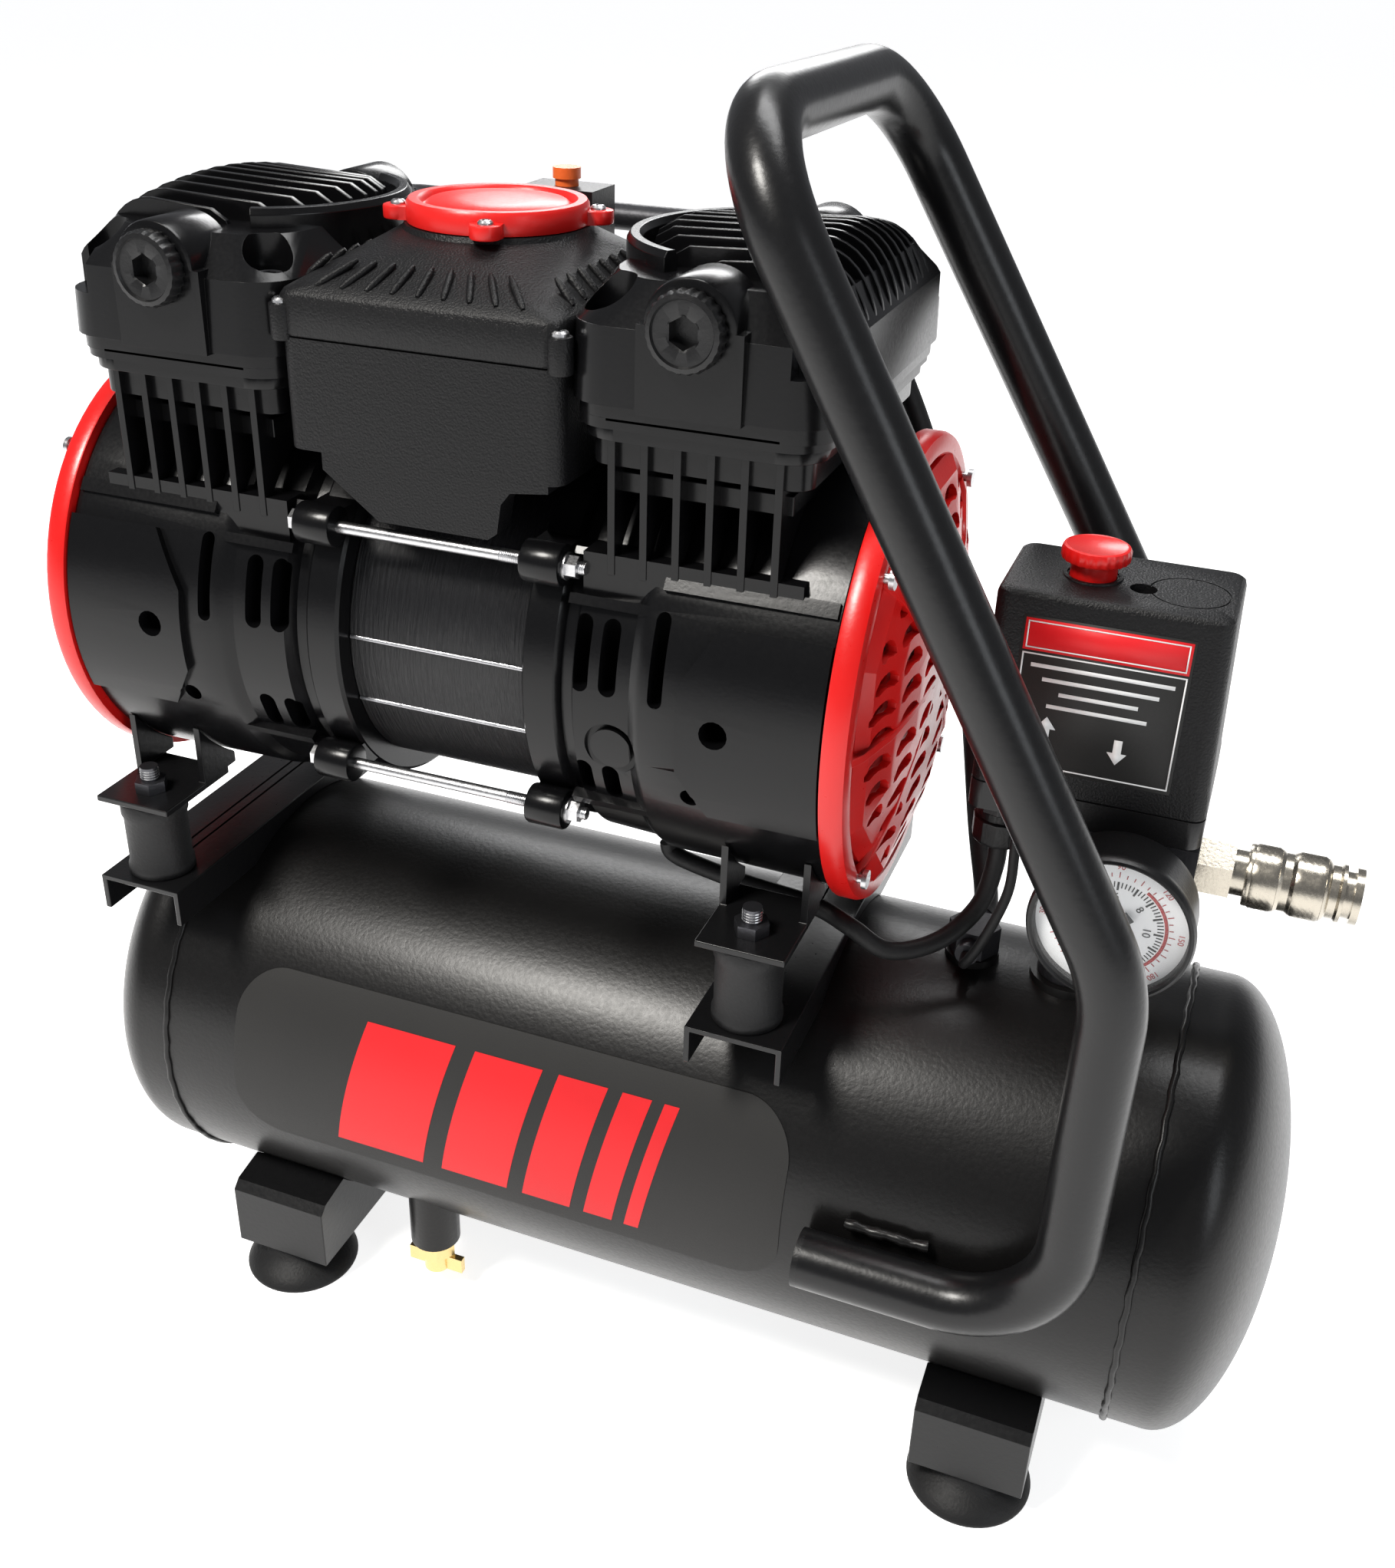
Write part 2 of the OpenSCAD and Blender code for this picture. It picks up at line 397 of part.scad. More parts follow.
// ---------- control group ----------
module manifold_block() color([0.25, 0.25, 0.27]) difference() {
  union() {
    translate([pipe_x, 0, 0]) zc(14, tank_z + tank_r + 3.2, cz - 13);
    translate([pipe_x, 0, 0]) zc(9.4, tank_z + tank_r - 6, tank_z + tank_r + 4);
    bx([switch_x - 14, -16, cz - 14], [switch_x + 46, 16, cz + 14]);
    translate([pipe_x, 0, 0]) zc(13, cz + 13, switch_z - 0.1);
    translate([gx, 0, gz]) yc(8, -34, -15);
  }
  translate([pipe_x, 0, 0]) zc(6, tank_z + tank_r - 8, switch_z + 2, 32);
  translate([0, 0, cz]) xc(6.05, switch_x, switch_x + 60, 32);
  translate([gx, 0, gz]) yc(3, -40, 0, 24);
}
module switch_base() color(black) difference() {
  union() {
    translate([switch_x, 0, switch_z]) linear_extrude(12) rrect(92, 60, 6);
    translate([switch_x - 34, -8, switch_z]) zc(10.5, -20, 1, 32);
  }
  translate([switch_x, 0, switch_z + 3]) linear_extrude(20) rrect(86, 54, 4);
  translate([pipe_x, 0, switch_z]) zc(6, -5, 10, 32);
  translate([switch_x - 34, -8, switch_z]) zc(4.1, -25, 10, 32);
}
sw_top = switch_z + 94.5;
knob_x = switch_x - 13;
module switch_cover() color(black) difference() {
  hull() {
    translate([switch_x, 0, switch_z + 12.1]) linear_extrude(1) rrect(92, 60, 6);
    translate([switch_x - 1, 0, sw_top - 1]) linear_extrude(1) rrect(88, 57, 6);
  }
  translate([switch_x, 0, switch_z + 10]) linear_extrude(81.5) rrect(82, 52, 4);
  translate([knob_x, 0, 0]) zc(9.1, sw_top - 10, sw_top + 10);
}
module switch_knob() color(red) translate([knob_x, 0, 0]) {
  zc(9, sw_top - 12, sw_top + 8); zc(13.3, sw_top + 7, sw_top + 12.5);
}
module gauge_case() color(black) translate([gx, 0, gz]) difference() {
  union() { yc(gauge_r, gy, gy + 27, 64); yc(7, gy + 26, -34.2, 32); }
  yc(gauge_r - 3, gy - 1, gy + 7, 64);
  yc(1.55, gy, gy + 20, 24);
}
module gauge_dial() color("white") translate([gx, 0, gz]) difference() { yc(gauge_r - 3.1, gy + 5.8, gy + 6.9, 64); yc(1.7, gy, gy + 20, 24); }
module gauge_needle() color([0.05, 0.05, 0.05]) translate([gx, 0, gz]) {
  yc(1.5, gy + 3.4, gy + 16, 24); yc(3, gy + 3.4, gy + 4.6, 32);
  rotate([0, -135, 0]) translate([-1, gy + 3.6, 0]) cube([2, 0.8, 22]);
  rotate([0, 45, 0]) translate([-2, gy + 3.6, 0]) cube([4, 0.8, 9]);
}
module safety_valve() color(brass) translate([switch_x + 24, 0, cz]) difference() {
  union() { yc(9, 16.1, 28, 32); yc(7, 28, 44, 32); }
  yc(2.6, 20, 60, 24);
}
module safety_ring() color(steel) translate([switch_x + 24, 0, cz]) {
  yc(2.5, 24, 50, 24); yc(3.5, 50, 51, 24);
  translate([0, 59, 0]) rotate([0, 90, 0]) rotate_extrude($fn = 48) translate([8, 0]) circle(r = 1, $fn = 24);
}
module coupler_body() color(steel) translate([0, 0, cz]) difference() {
  union() { xc(6, switch_x + 36, switch_x + 48, 32); hexx(22, switch_x + 46.1, switch_x + 60); xc(9.4, switch_x + 60, 284, 32); xc(11.4, 283, 286, 32); }
  xc(3.7, switch_x + 20, 290, 32);
}
module coupler_sleeve() color(steel) translate([0, 0, cz]) difference() {
  xc(13.3, switch_x + 65, 279.5, 64);
  xc(9.45, 200, 300, 32);
}
module check_valve() color(brass) translate([valve_x, 0, 0]) {
  zc(7.9, tank_z + tank_r - 6, tank_z + tank_r + 3.2, 32); hexz(20, tank_z + tank_r + 3.1, tank_z + tank_r + 16);
  translate([0, 0, tank_z + tank_r + 9]) yc(5, -16, 16, 32);
}
vz = tank_z + tank_r + 9;
hose1 = [[10, 108.1, 510], [10, 114, 510], [20, 119, 498], [42, 119, 468], [68, 116, 420], [90, 110, 362], [107, 93, 310], [124, 58, 262], [134, 36, 242], [valve_x, 24, vz], [valve_x, 16.1, vz]];
cab1 = [[143, -8, 297], [143, -9, 280], [139, -16, 262], [126, -30, 250], [108, -42, 248], [92, -46, 258], [74, -42, 262], [40, -34, 260], [12, -26, 259], [2, -24, 261], [0, -24, 266.2]];
tub1 = [[valve_x, -16.1, vz], [valve_x + 1, -24, vz + 1], [145, -26, 254], [152, -24, 278], [152, -22, 300], [152, -21, 317.8]];
module air_hoses() color(black) { sweep(hose1, 5.5); sweep(tub1, 2.2, 4, 8); }
module motor_cable() color(black) sweep(cab1, 4);

tank_shell();
tank_end_left();
tank_end_right();
weld_seams();
tank_decal();
handle_tube();
handle_end_plugs();
foot_brackets();
rubber_feet();
foot_bolts();
drain_valve_body();
drain_valve_wing();
pump_rails();
rubber_mounts();
mount_studs();
pump_foot_plates();
housing_left();
housing_right();
stator_core();
stator_windings();
rotor_core();
motor_shaft();
shaft_bearings();
cooling_fans();
eccentric_weights();
connecting_rod_left();
connecting_rod_right();
cylinder_sleeves();
cylinder_left();
cylinder_right();
valve_plates();
cylinder_head_left();
cylinder_head_right();
head_bolts();
head_port_plugs();
crossover_tube();
fan_cover_left();
fan_cover_right();
fan_cover_screws();
tie_rods();
filter_box_base();
filter_box_lid();
filter_cap();
run_capacitor();
overload_protector();
reset_button();
manifold_block();
switch_base();
switch_cover();
switch_knob();
gauge_case();
gauge_dial();
gauge_needle();
safety_valve();
safety_ring();
coupler_body();
coupler_sleeve();
check_valve();
air_hoses();
motor_cable();
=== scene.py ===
import bpy, bmesh, math
from math import sin, cos, pi, radians, sqrt, atan2
from mathutils import Vector, Matrix


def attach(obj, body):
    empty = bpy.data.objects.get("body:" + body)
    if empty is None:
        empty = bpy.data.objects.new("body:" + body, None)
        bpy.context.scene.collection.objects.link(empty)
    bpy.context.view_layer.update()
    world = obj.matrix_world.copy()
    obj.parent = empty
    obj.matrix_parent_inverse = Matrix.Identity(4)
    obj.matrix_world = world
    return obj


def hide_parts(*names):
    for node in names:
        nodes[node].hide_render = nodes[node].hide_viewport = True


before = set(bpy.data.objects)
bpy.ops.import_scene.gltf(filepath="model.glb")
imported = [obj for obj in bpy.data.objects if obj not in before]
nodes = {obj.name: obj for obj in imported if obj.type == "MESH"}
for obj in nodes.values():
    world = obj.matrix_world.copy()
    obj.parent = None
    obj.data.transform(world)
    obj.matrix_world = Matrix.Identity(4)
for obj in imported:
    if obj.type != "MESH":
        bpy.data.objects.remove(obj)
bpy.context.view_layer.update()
K = 0.001
PX, PZ = -83.0, 359.0          # pump centre
TR, TZ = 103.0, 125.0          # tank radius and axis height

# ------------------------------------------------------------------ materials
MATS = {}
def mat(name, col, rough=0.5, metal=0.0, bump=0.0, scale=400.0, var=0.05, rvar=0.06, coat=0.0, spec=0.5, sheen=0.0, stretch=None, bump2=0.0, scale2=60.0, wear=None, alpha=None):
    if name in MATS:
        return MATS[name]
    m = bpy.data.materials.new(name)
    m.use_nodes = True
    nt = m.node_tree
    n, l = nt.nodes, nt.links
    b = n["Principled BSDF"]
    b.inputs["Metallic"].default_value = metal
    b.inputs["Specular IOR Level"].default_value = spec
    b.inputs["Coat Weight"].default_value = coat
    b.inputs["Coat Roughness"].default_value = 0.22
    b.inputs["Sheen Weight"].default_value = sheen
    tc = n.new("ShaderNodeTexCoord")
    mp = n.new("ShaderNodeMapping")
    if stretch:
        mp.inputs["Scale"].default_value = stretch
    l.new(tc.outputs["Object"], mp.inputs["Vector"])
    big = n.new("ShaderNodeTexNoise"); big.inputs["Scale"].default_value = 22.0; big.inputs["Detail"].default_value = 4.0
    l.new(tc.outputs["Object"], big.inputs["Vector"])
    mix = n.new("ShaderNodeMix"); mix.data_type = "RGBA"
    mix.inputs["A"].default_value = (*[max(0.0, c * (1 - var * 2)) for c in col], 1)
    mix.inputs["B"].default_value = (*[min(1.0, c * (1 + var * 2)) for c in col], 1)
    l.new(big.outputs["Fac"], mix.inputs["Factor"])
    out = mix.outputs["Result"]
    if wear:
        geo = n.new("ShaderNodeNewGeometry")
        rp = n.new("ShaderNodeValToRGB")
        rp.color_ramp.elements[0].position = 0.53; rp.color_ramp.elements[0].color = (0, 0, 0, 1)
        rp.color_ramp.elements[1].position = 0.60; rp.color_ramp.elements[1].color = (1, 1, 1, 1)
        l.new(geo.outputs["Pointiness"], rp.inputs["Fac"])
        mu = n.new("ShaderNodeMath"); mu.operation = "MULTIPLY"; mu.inputs[1].default_value = 0.5
        l.new(rp.outputs["Color"], mu.inputs[0])
        mw = n.new("ShaderNodeMix"); mw.data_type = "RGBA"
        l.new(mu.outputs[0], mw.inputs["Factor"]); l.new(out, mw.inputs["A"]); mw.inputs["B"].default_value = (*wear, 1)
        out = mw.outputs["Result"]
    l.new(out, b.inputs["Base Color"])
    fine = n.new("ShaderNodeTexNoise"); fine.inputs["Scale"].default_value = scale; fine.inputs["Detail"].default_value = 3.0
    l.new(mp.outputs["Vector"], fine.inputs["Vector"])
    rr = n.new("ShaderNodeMapRange")
    rr.inputs["To Min"].default_value = max(0.02, rough - rvar); rr.inputs["To Max"].default_value = min(1.0, rough + rvar)
    l.new(fine.outputs["Fac"], rr.inputs["Value"]); l.new(rr.outputs["Result"], b.inputs["Roughness"])
    if bump > 0:
        bp = n.new("ShaderNodeBump"); bp.inputs["Strength"].default_value = bump; bp.inputs["Distance"].default_value = 0.0006
        l.new(fine.outputs["Fac"], bp.inputs["Height"])
        last = bp
        if bump2 > 0:
            f2 = n.new("ShaderNodeTexNoise"); f2.inputs["Scale"].default_value = scale2; f2.inputs["Detail"].default_value = 2.0
            l.new(mp.outputs["Vector"], f2.inputs["Vector"])
            b2 = n.new("ShaderNodeBump"); b2.inputs["Strength"].default_value = bump2; b2.inputs["Distance"].default_value = 0.002
            l.new(f2.outputs["Fac"], b2.inputs["Height"]); l.new(bp.outputs["Normal"], b2.inputs["Normal"])
            last = b2
        l.new(last.outputs["Normal"], b.inputs["Normal"])
    if alpha is not None:
        b.inputs["Alpha"].default_value = alpha
    MATS[name] = m
    return m

tank_m = mat("tank_paint", (0.0055, 0.0052, 0.0052), 0.34, bump=0.16, scale=520, coat=0.08, spec=0.27, rvar=0.07, bump2=0.03, scale2=45)
paint_m = mat("frame_paint", (0.0055, 0.0055, 0.006), 0.30, bump=0.12, scale=420, coat=0.10, spec=0.30)
cast_m = mat("cast_black", (0.0032, 0.0032, 0.0036), 0.24, bump=0.05, scale=650, coat=0.05, spec=0.24, rvar=0.06)
plas_m = mat("black_plastic", (0.005, 0.005, 0.0055), 0.42, bump=0.6, scale=1100, rvar=0.1, spec=0.23)
plas2_m = mat("smooth_plastic", (0.006, 0.006, 0.0065), 0.36, bump=0.15, scale=900, spec=0.36)
rub_m = mat("rubber", (0.008, 0.008, 0.0085), 0.55, bump=0.3, scale=700, spec=0.32)
red_m = mat("red_plastic", (0.60, 0.008, 0.007), 0.30, bump=0.08, scale=500, coat=0.12, spec=0.4)
cap_m = mat("red_cap", (0.66, 0.012, 0.010), 0.34, bump=0.10, scale=600, coat=0.1, spec=0.4)
orange_m = mat("orange_plastic", (0.9, 0.16, 0.03), 0.35, bump=0.1, scale=700)
zinc_m = mat("zinc", (0.55, 0.55, 0.56), 0.30, 1.0, bump=0.12, scale=900, rvar=0.1)
steel_m = mat("steel", (0.42, 0.42, 0.44), 0.33, 1.0, bump=0.10, scale=700, stretch=(1, 8, 8))
nickel_m = mat("nickel", (0.50, 0.46, 0.39), 0.26, 1.0, bump=0.08, scale=800, rvar=0.08)
brass_m = mat("brass", (0.78, 0.60, 0.28), 0.30, 1.0, bump=0.10, scale=700, rvar=0.1)
copper_m = mat("copper", (0.55, 0.24, 0.12), 0.4, 0.6, bump=0.4, scale=300, stretch=(1, 6, 6))
alloy_m = mat("alloy_dark", (0.03, 0.03, 0.034), 0.42, 0.6, bump=0.2, scale=500)
decal_m = mat("decal_dark", (0.016, 0.0155, 0.0148), 0.6, bump=0.10, scale=1200, var=0.08, spec=0.35)
decal_r = mat("decal_red", (0.66, 0.010, 0.014), 0.5, bump=0.06, scale=900, spec=0.35)
white_m = mat("print_white", (0.75, 0.75, 0.75), 0.5, bump=0.05, scale=900)
dial_m = mat("dial_white", (0.84, 0.85, 0.86), 0.45, bump=0.03, scale=900)
ink_m = mat("ink_black", (0.01, 0.01, 0.01), 0.5, bump=0.03, scale=900)
inkr_m = mat("ink_red", (0.45, 0.03, 0.03), 0.5, bump=0.03, scale=900)
glass_m = mat("gauge_lens", (0.95, 0.97, 0.98), 0.06, bump=0.01, scale=200, alpha=0.05, spec=0.35)
# painted shade: a dark matte sheet standing in for the shadow inside the fan covers
shade_sheet_m = mat("painted_recess_shade", (0.004, 0.004, 0.004), 0.8, bump=0.2, scale=400)

def lam_mat():
    m = mat("lamination", (0.006, 0.006, 0.007), 0.34, bump=0.6, scale=420, stretch=(14, 1, 1), rvar=0.14, spec=0.4, bump2=0.5, scale2=60)
    return m
lam_m = lam_mat()

# ------------------------------------------------------------------ mesh helpers (millimetres)
def frame_axes(axis):
    return {"X": (Vector((0, 1, 0)), Vector((0, 0, 1)), Vector((1, 0, 0))),
            "Y": (Vector((0, 0, 1)), Vector((1, 0, 0)), Vector((0, 1, 0))),
            "Z": (Vector((1, 0, 0)), Vector((0, 1, 0)), Vector((0, 0, 1)))}[axis]

class G:
    def __init__(self):
        self.bm = bmesh.new()
    def rings(self, rr, closed_ends=True, loop=False):
        bm = self.bm
        vs = [[bm.verts.new(p) for p in r] for r in rr]
        n = len(vs[0])
        pairs = list(zip(vs, vs[1:])) + ([(vs[-1], vs[0])] if loop else [])
        for a, b in pairs:
            for i in range(n):
                j = (i + 1) % n
                try: bm.faces.new((a[i], a[j], b[j], b[i]))
                except ValueError: pass
        if closed_ends and not loop:
            bm.faces.new(list(reversed(vs[0]))); bm.faces.new(vs[-1])
        return vs
    def lathe(self, prof, o=(0, 0, 0), axis="Z", seg=64, phase=0.0, solid=True):
        """prof: list of (radius, height)."""
        X, Y, Z = frame_axes(axis); o = Vector(o)
        rr = []
        for r, h in prof:
            r = max(r, 0.01)
            rr.append([o + Z * h + (X * cos(2 * pi * i / seg + phase) + Y * sin(2 * pi * i / seg + phase)) * r for i in range(seg)])
        self.rings(rr, closed_ends=solid, loop=not solid)
        return self
    def cyl(self, r, h0, h1, o=(0, 0, 0), axis="Z", seg=48, ch=0.0, phase=0.0):
        if ch:
            p = [(r - ch, h0), (r - ch * 0.3, h0 + ch * 0.3), (r, h0 + ch), (r, h1 - ch), (r - ch * 0.3, h1 - ch * 0.3), (r - ch, h1)]
        else:
            p = [(r, h0), (r, h1)]
        return self.lathe(p, o, axis, seg, phase)
    def prism(self, pts, h0, h1, o=(0, 0, 0), axis="Z", top=None):
        X, Y, Z = frame_axes(axis); o = Vector(o)
        a = [o + X * p[0] + Y * p[1] + Z * h0 for p in pts]
        b = [o + X * p[0] + Y * p[1] + Z * h1 for p in (top or pts)]
        self.rings([a, b]); return self
    def box(self, lo, hi):
        self.prism([(lo[0], lo[1]), (hi[0], lo[1]), (hi[0], hi[1]), (lo[0], hi[1])], lo[2], hi[2]); return self
    def tube(self, pts, r, seg=16, k=Vector((0.13, 0.31, 0.94)), radii=None):
        pts = [Vector(p) for p in pts]; rr = []
        d0 = (pts[1] - pts[0]).normalized()
        X = k.cross(d0).normalized()
        for i, p in enumerate(pts):
            d = (pts[min(i + 1, len(pts) - 1)] - pts[max(i - 1, 0)]).normalized()
            X = (X - d * X.dot(d)).normalized(); Y = d.cross(X)
            q = radii[i] if radii else r
            rr.append([p + (X * cos(2 * pi * j / seg) + Y * sin(2 * pi * j / seg)) * q for j in range(seg)])
        self.rings(rr); return self

def rrect(x, y, r, n=6):
    pts = []
    for cx, cy, a0 in ((x / 2 - r, y / 2 - r, 0), (-x / 2 + r, y / 2 - r, 90), (-x / 2 + r, -y / 2 + r, 180), (x / 2 - r, -y / 2 + r, 270)):
        for i in range(n + 1):
            a = radians(a0 + 90 * i / n); pts.append((cx + r * cos(a), cy + r * sin(a)))
    return pts
def off(pts, dx=0, dy=0):
    return [(p[0] + dx, p[1] + dy) for p in pts]

def build(name, g, m, body="frame", slot=None, rep=(), bevel=0.0, seg=2, ang=32, M=None, cut=None, add=None, flip_x=False, sub=0, weld=True):
    """g: G in millimetres. cut and add: lists of G applied as exact booleans."""
    bm = g.bm
    bmesh.ops.recalc_face_normals(bm, faces=bm.faces)
    me = bpy.data.meshes.new(name); bm.to_mesh(me)
    ob = bpy.data.objects.new(name, me); bpy.context.scene.collection.objects.link(ob)
    tmp = []
    for op, lst in (("UNION", add or []), ("DIFFERENCE", cut or [])):
        if not lst: continue
        whole = bmesh.new()
        for c in lst:
            bmesh.ops.recalc_face_normals(c.bm, faces=c.bm.faces)
            cm = bpy.data.meshes.new("c"); c.bm.to_mesh(cm); whole.from_mesh(cm); bpy.data.meshes.remove(cm)
        cm = bpy.data.meshes.new("c"); whole.to_mesh(cm); whole.free()
        co = bpy.data.objects.new("c", cm); bpy.context.scene.collection.objects.link(co); tmp.append(co)
        md = ob.modifiers.new("b", "BOOLEAN"); md.operation = op; md.solver = "EXACT"; md.object = co
        md.use_self = True
    if tmp:
        dg = bpy.context.evaluated_depsgraph_get()
        me2 = bpy.data.meshes.new_from_object(ob.evaluated_get(dg))
        ob.modifiers.clear(); ob.data = me2; me = me2
        for t in tmp: bpy.data.objects.remove(t)
    bm2 = bmesh.new(); bm2.from_mesh(me)
    if weld: bmesh.ops.remove_doubles(bm2, verts=bm2.verts, dist=0.01)
    if flip_x:
        for v in bm2.verts: v.co.x = -v.co.x
        bmesh.ops.reverse_faces(bm2, faces=bm2.faces)
    if M is not None: bmesh.ops.transform(bm2, matrix=M, verts=bm2.verts)
    bmesh.ops.scale(bm2, vec=(K, K, K), verts=bm2.verts)
    for f in bm2.faces: f.smooth = True
    for e in bm2.edges:
        e.smooth = not (len(e.link_faces) == 2 and e.calc_face_angle(0) > radians(ang))
    bm2.to_mesh(me); bm2.free()
    me.materials.clear(); me.materials.append(m)
    if bevel:
        md = ob.modifiers.new("bevel", "BEVEL"); md.width = bevel * K; md.segments = seg; md.limit_method = "ANGLE"; md.angle_limit = radians(30); md.harden_normals = True
    if sub:
        md = ob.modifiers.new("sub", "SUBSURF"); md.levels = sub; md.render_levels = sub
    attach(ob, body)
    if rep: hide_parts(*rep)
    return ob

AT = Matrix.Translation((PX, 0, PZ))
def both(name, make, m, **kw):
    """make() gives a fresh (g, dict) in pump coordinates for the right side; the left side is its mirror."""
    rep = kw.pop("rep2", None)
    for s, tag in ((1, "right"), (-1, "left")):
        g, extra = make(s)
        k2 = dict(kw); k2.update(extra)
        build(name + "_" + tag, g, m, M=AT, flip_x=s < 0, rep=(rep + "_" + tag,) if rep else (), **k2)

def cadmat(names, m, ang=30):
    for n in names:
        o = nodes[n]; o.data.materials.clear(); o.data.materials.append(m)

cadmat(["tank_shell"], tank_m)
cadmat(["pump_rails", "pump_foot_plates", "foot_brackets"], paint_m)
cadmat(["tank_decal"], decal_m)
cadmat(["handle_end_plugs", "cooling_fans", "run_capacitor", "overload_protector", "gauge_needle", "switch_base"], plas2_m)
cadmat(["rotor_core", "motor_shaft", "shaft_bearings", "eccentric_weights"], steel_m)
cadmat(["valve_plates"], cast_m)
cadmat(["connecting_rod_left", "connecting_rod_right", "cylinder_sleeves", "crossover_tube", "manifold_block", "check_valve"], alloy_m)
cadmat(["stator_windings"], copper_m)
cadmat(["cylinder_left", "cylinder_right"], cast_m)
cadmat(["foot_bolts", "fan_cover_screws", "tie_rods", "safety_ring"], zinc_m)
cadmat(["mount_studs", "head_bolts"], mat("dark_zinc", (0.10, 0.10, 0.11), 0.32, 0.9, bump=0.12, scale=900))
cadmat(["drain_valve_body", "drain_valve_wing", "safety_valve"], brass_m)
cadmat(["coupler_body"], nickel_m)
cadmat(["rubber_feet"], rub_m)
cadmat(["gauge_dial"], dial_m)
cadmat(["reset_button"], orange_m)
for n in ("foot_brackets", "pump_rails", "pump_foot_plates", "rubber_feet", "cylinder_left", "cylinder_right", "switch_base", "overload_protector", "crossover_tube", "manifold_block"):
    o = nodes[n]
    w = o.modifiers.new("weld", "WELD"); w.merge_threshold = 0.00002
    b = o.modifiers.new("bevel", "BEVEL"); b.width = 0.0006; b.segments = 2; b.limit_method = "ANGLE"; b.angle_limit = radians(40); b.harden_normals = True

# ------------------------------------------------------------------ handle
def unit(v): return v.normalized()
def bent(pts, rad, n=14):
    pts = [Vector(p) for p in pts]; d = [unit(b - a) for a, b in zip(pts, pts[1:])]
    out = [pts[0]]
    for i in range(1, len(pts) - 1):
        u, v = d[i - 1], d[i]; A = math.acos(max(-1, min(1, u.dot(v)))); R = rad[i - 1]
        nn = unit(v - u * u.dot(v)); O = pts[i] - u * (R * math.tan(A / 2)) + nn * R
        for j in range(n + 1):
            t = A * j / n; out.append(O + (u * sin(t) - nn * cos(t)) * R)
    out.append(pts[-1]); return out
HY, HZ = 115.6, 136
HP = [(101, -HY, HZ), (206, -HY, HZ), (206, -HY, 306), (44, -97, 579), (44, 97, 579), (206, HY, 306), (206, HY, HZ), (101, HY, HZ)]
hp = bent(HP, [48, 70, 46, 46, 70, 48])
build("carry_handle", G().tube(hp, 12.5, 48), paint_m, slot="frame_paint", rep=("handle_tube",), ang=50)
g = G()
for s in (-1, 1):   # weld beads where the foot tubes lie against the tank
    for z0, a0 in ((151.5, 1), (121, -1)):
        pts = [(115 + i * 2.2, s * (103.6 + 1.0 * (i % 2) * 0.4), z0 - 1.5 * a0 + 0.3 * sin(i * 0.9)) for i in range(17)]
        g.tube(pts, 3, 10, radii=[2.4 + 0.3 * sin(i * 1.3) for i in range(17)])
for s in (-1, 1):   # the two circumferential beads
    pts = [(s * (231.5 + 0.35 * sin(i * 1.9)), 103.2 * cos(2 * pi * i / 150), TZ + 103.2 * sin(2 * pi * i / 150)) for i in range(151)]
    g.tube(pts, 2, 10, radii=[1.5 + 0.12 * sin(i * 2.3) for i in range(151)])
build("weld_beads", g, tank_m, slot="tank_paint", rep=("weld_seams",), ang=60)
for s, tag in ((1, "right"), (-1, "left")):
    prof = [(100, 231.6), (102.9, 231.6), (103, 233), (103, 247)] + [(103 * cos(radians(90 * i / 28)), 248 + 40 * sin(radians(90 * i / 28))) for i in range(28)] + [(0.01, 288)]
    build("tank_dome_" + tag, G().lathe(prof, o=(0, 0, TZ), axis="X", seg=160), tank_m, slot="tank_paint", rep=("tank_end_" + tag,), flip_x=s < 0, ang=60)

# ------------------------------------------------------------------ decal graphic: plain slanted bars on the dark panel
g = G()
R = TR + 0.95
def onto(x, a): return Vector((x, -R * sin(a), TZ + R * cos(a)))
for x0, w in ((-136, 46), (-80, 34), (-38, 24), (-7, 14), (13, 7)):
    n = 14; rr = []
    for i in range(n + 1):
        t = i / n; a = radians(61 + 37 * t); sh = 14 * (1 - t); ring4 = []
        for x, q in ((x0 + sh, 0.3), (x0 + w + sh, 0.3), (x0 + w + sh, 0.62), (x0 + sh, 0.62)):
            ring4.append(Vector((x, -(TR + q) * sin(a), TZ + (TR + q) * cos(a))))
        rr.append(ring4)
    g.rings(rr)
build("decal_bars", g, decal_r, slot="red_plastic", ang=40)

# ------------------------------------------------------------------ stator with bright ribs
g = G(); g.lathe([(60, -42), (75.6, -42), (76, -41.6), (76, 41.6), (75.6, 42), (60, 42)], axis="X", seg=128, solid=True)
build("stator_stack", g, lam_m, slot="lamination", rep=("stator_core",), M=AT)
g = G()
for a in (4, -19, 176, 199):
    c, s_ = cos(radians(a)), sin(radians(a))
    o = (0, -76.0 * c, 76.0 * s_)
    g.cyl(0.9, -41.5, 41.5, o=o, axis="X", seg=10)
build("stator_ribs", g, mat("rib_worn", (0.45, 0.45, 0.47), 0.25, 0.9, bump=0.2, scale=500, stretch=(1, 20, 20)), slot="lamination", M=AT)

# ------------------------------------------------------------------ crankcase housings
def wrap(pts, R, h0, h1, step=5.0):
    """Polygon pts in (x, arc length above the front line), bent onto radius R; faces between heights h0 and h1."""
    bm = bmesh.new()
    f = bm.faces.new([bm.verts.new((p[0], p[1], 0)) for p in pts])
    ys = [p[1] for p in pts]; y = min(ys) + step
    while y < max(ys) - 0.5:
        geom = list(bm.verts) + list(bm.edges) + list(bm.faces)
        bmesh.ops.bisect_plane(bm, geom=geom, plane_co=(0, y, 0), plane_no=(0, 1, 0)); y += step
    r = bmesh.ops.extrude_face_region(bm, geom=list(bm.faces))
    top = [e for e in r["geom"] if isinstance(e, bmesh.types.BMVert)]
    for v in top: v.co.z = 1
    for v in bm.verts:
        h = h1 if v.co.z > 0.5 else h0
        a = v.co.y / R; q = R + h
        v.co = Vector((v.co.x, -q * cos(a), q * sin(a)))
    g = G(); g.bm = bm
    return g
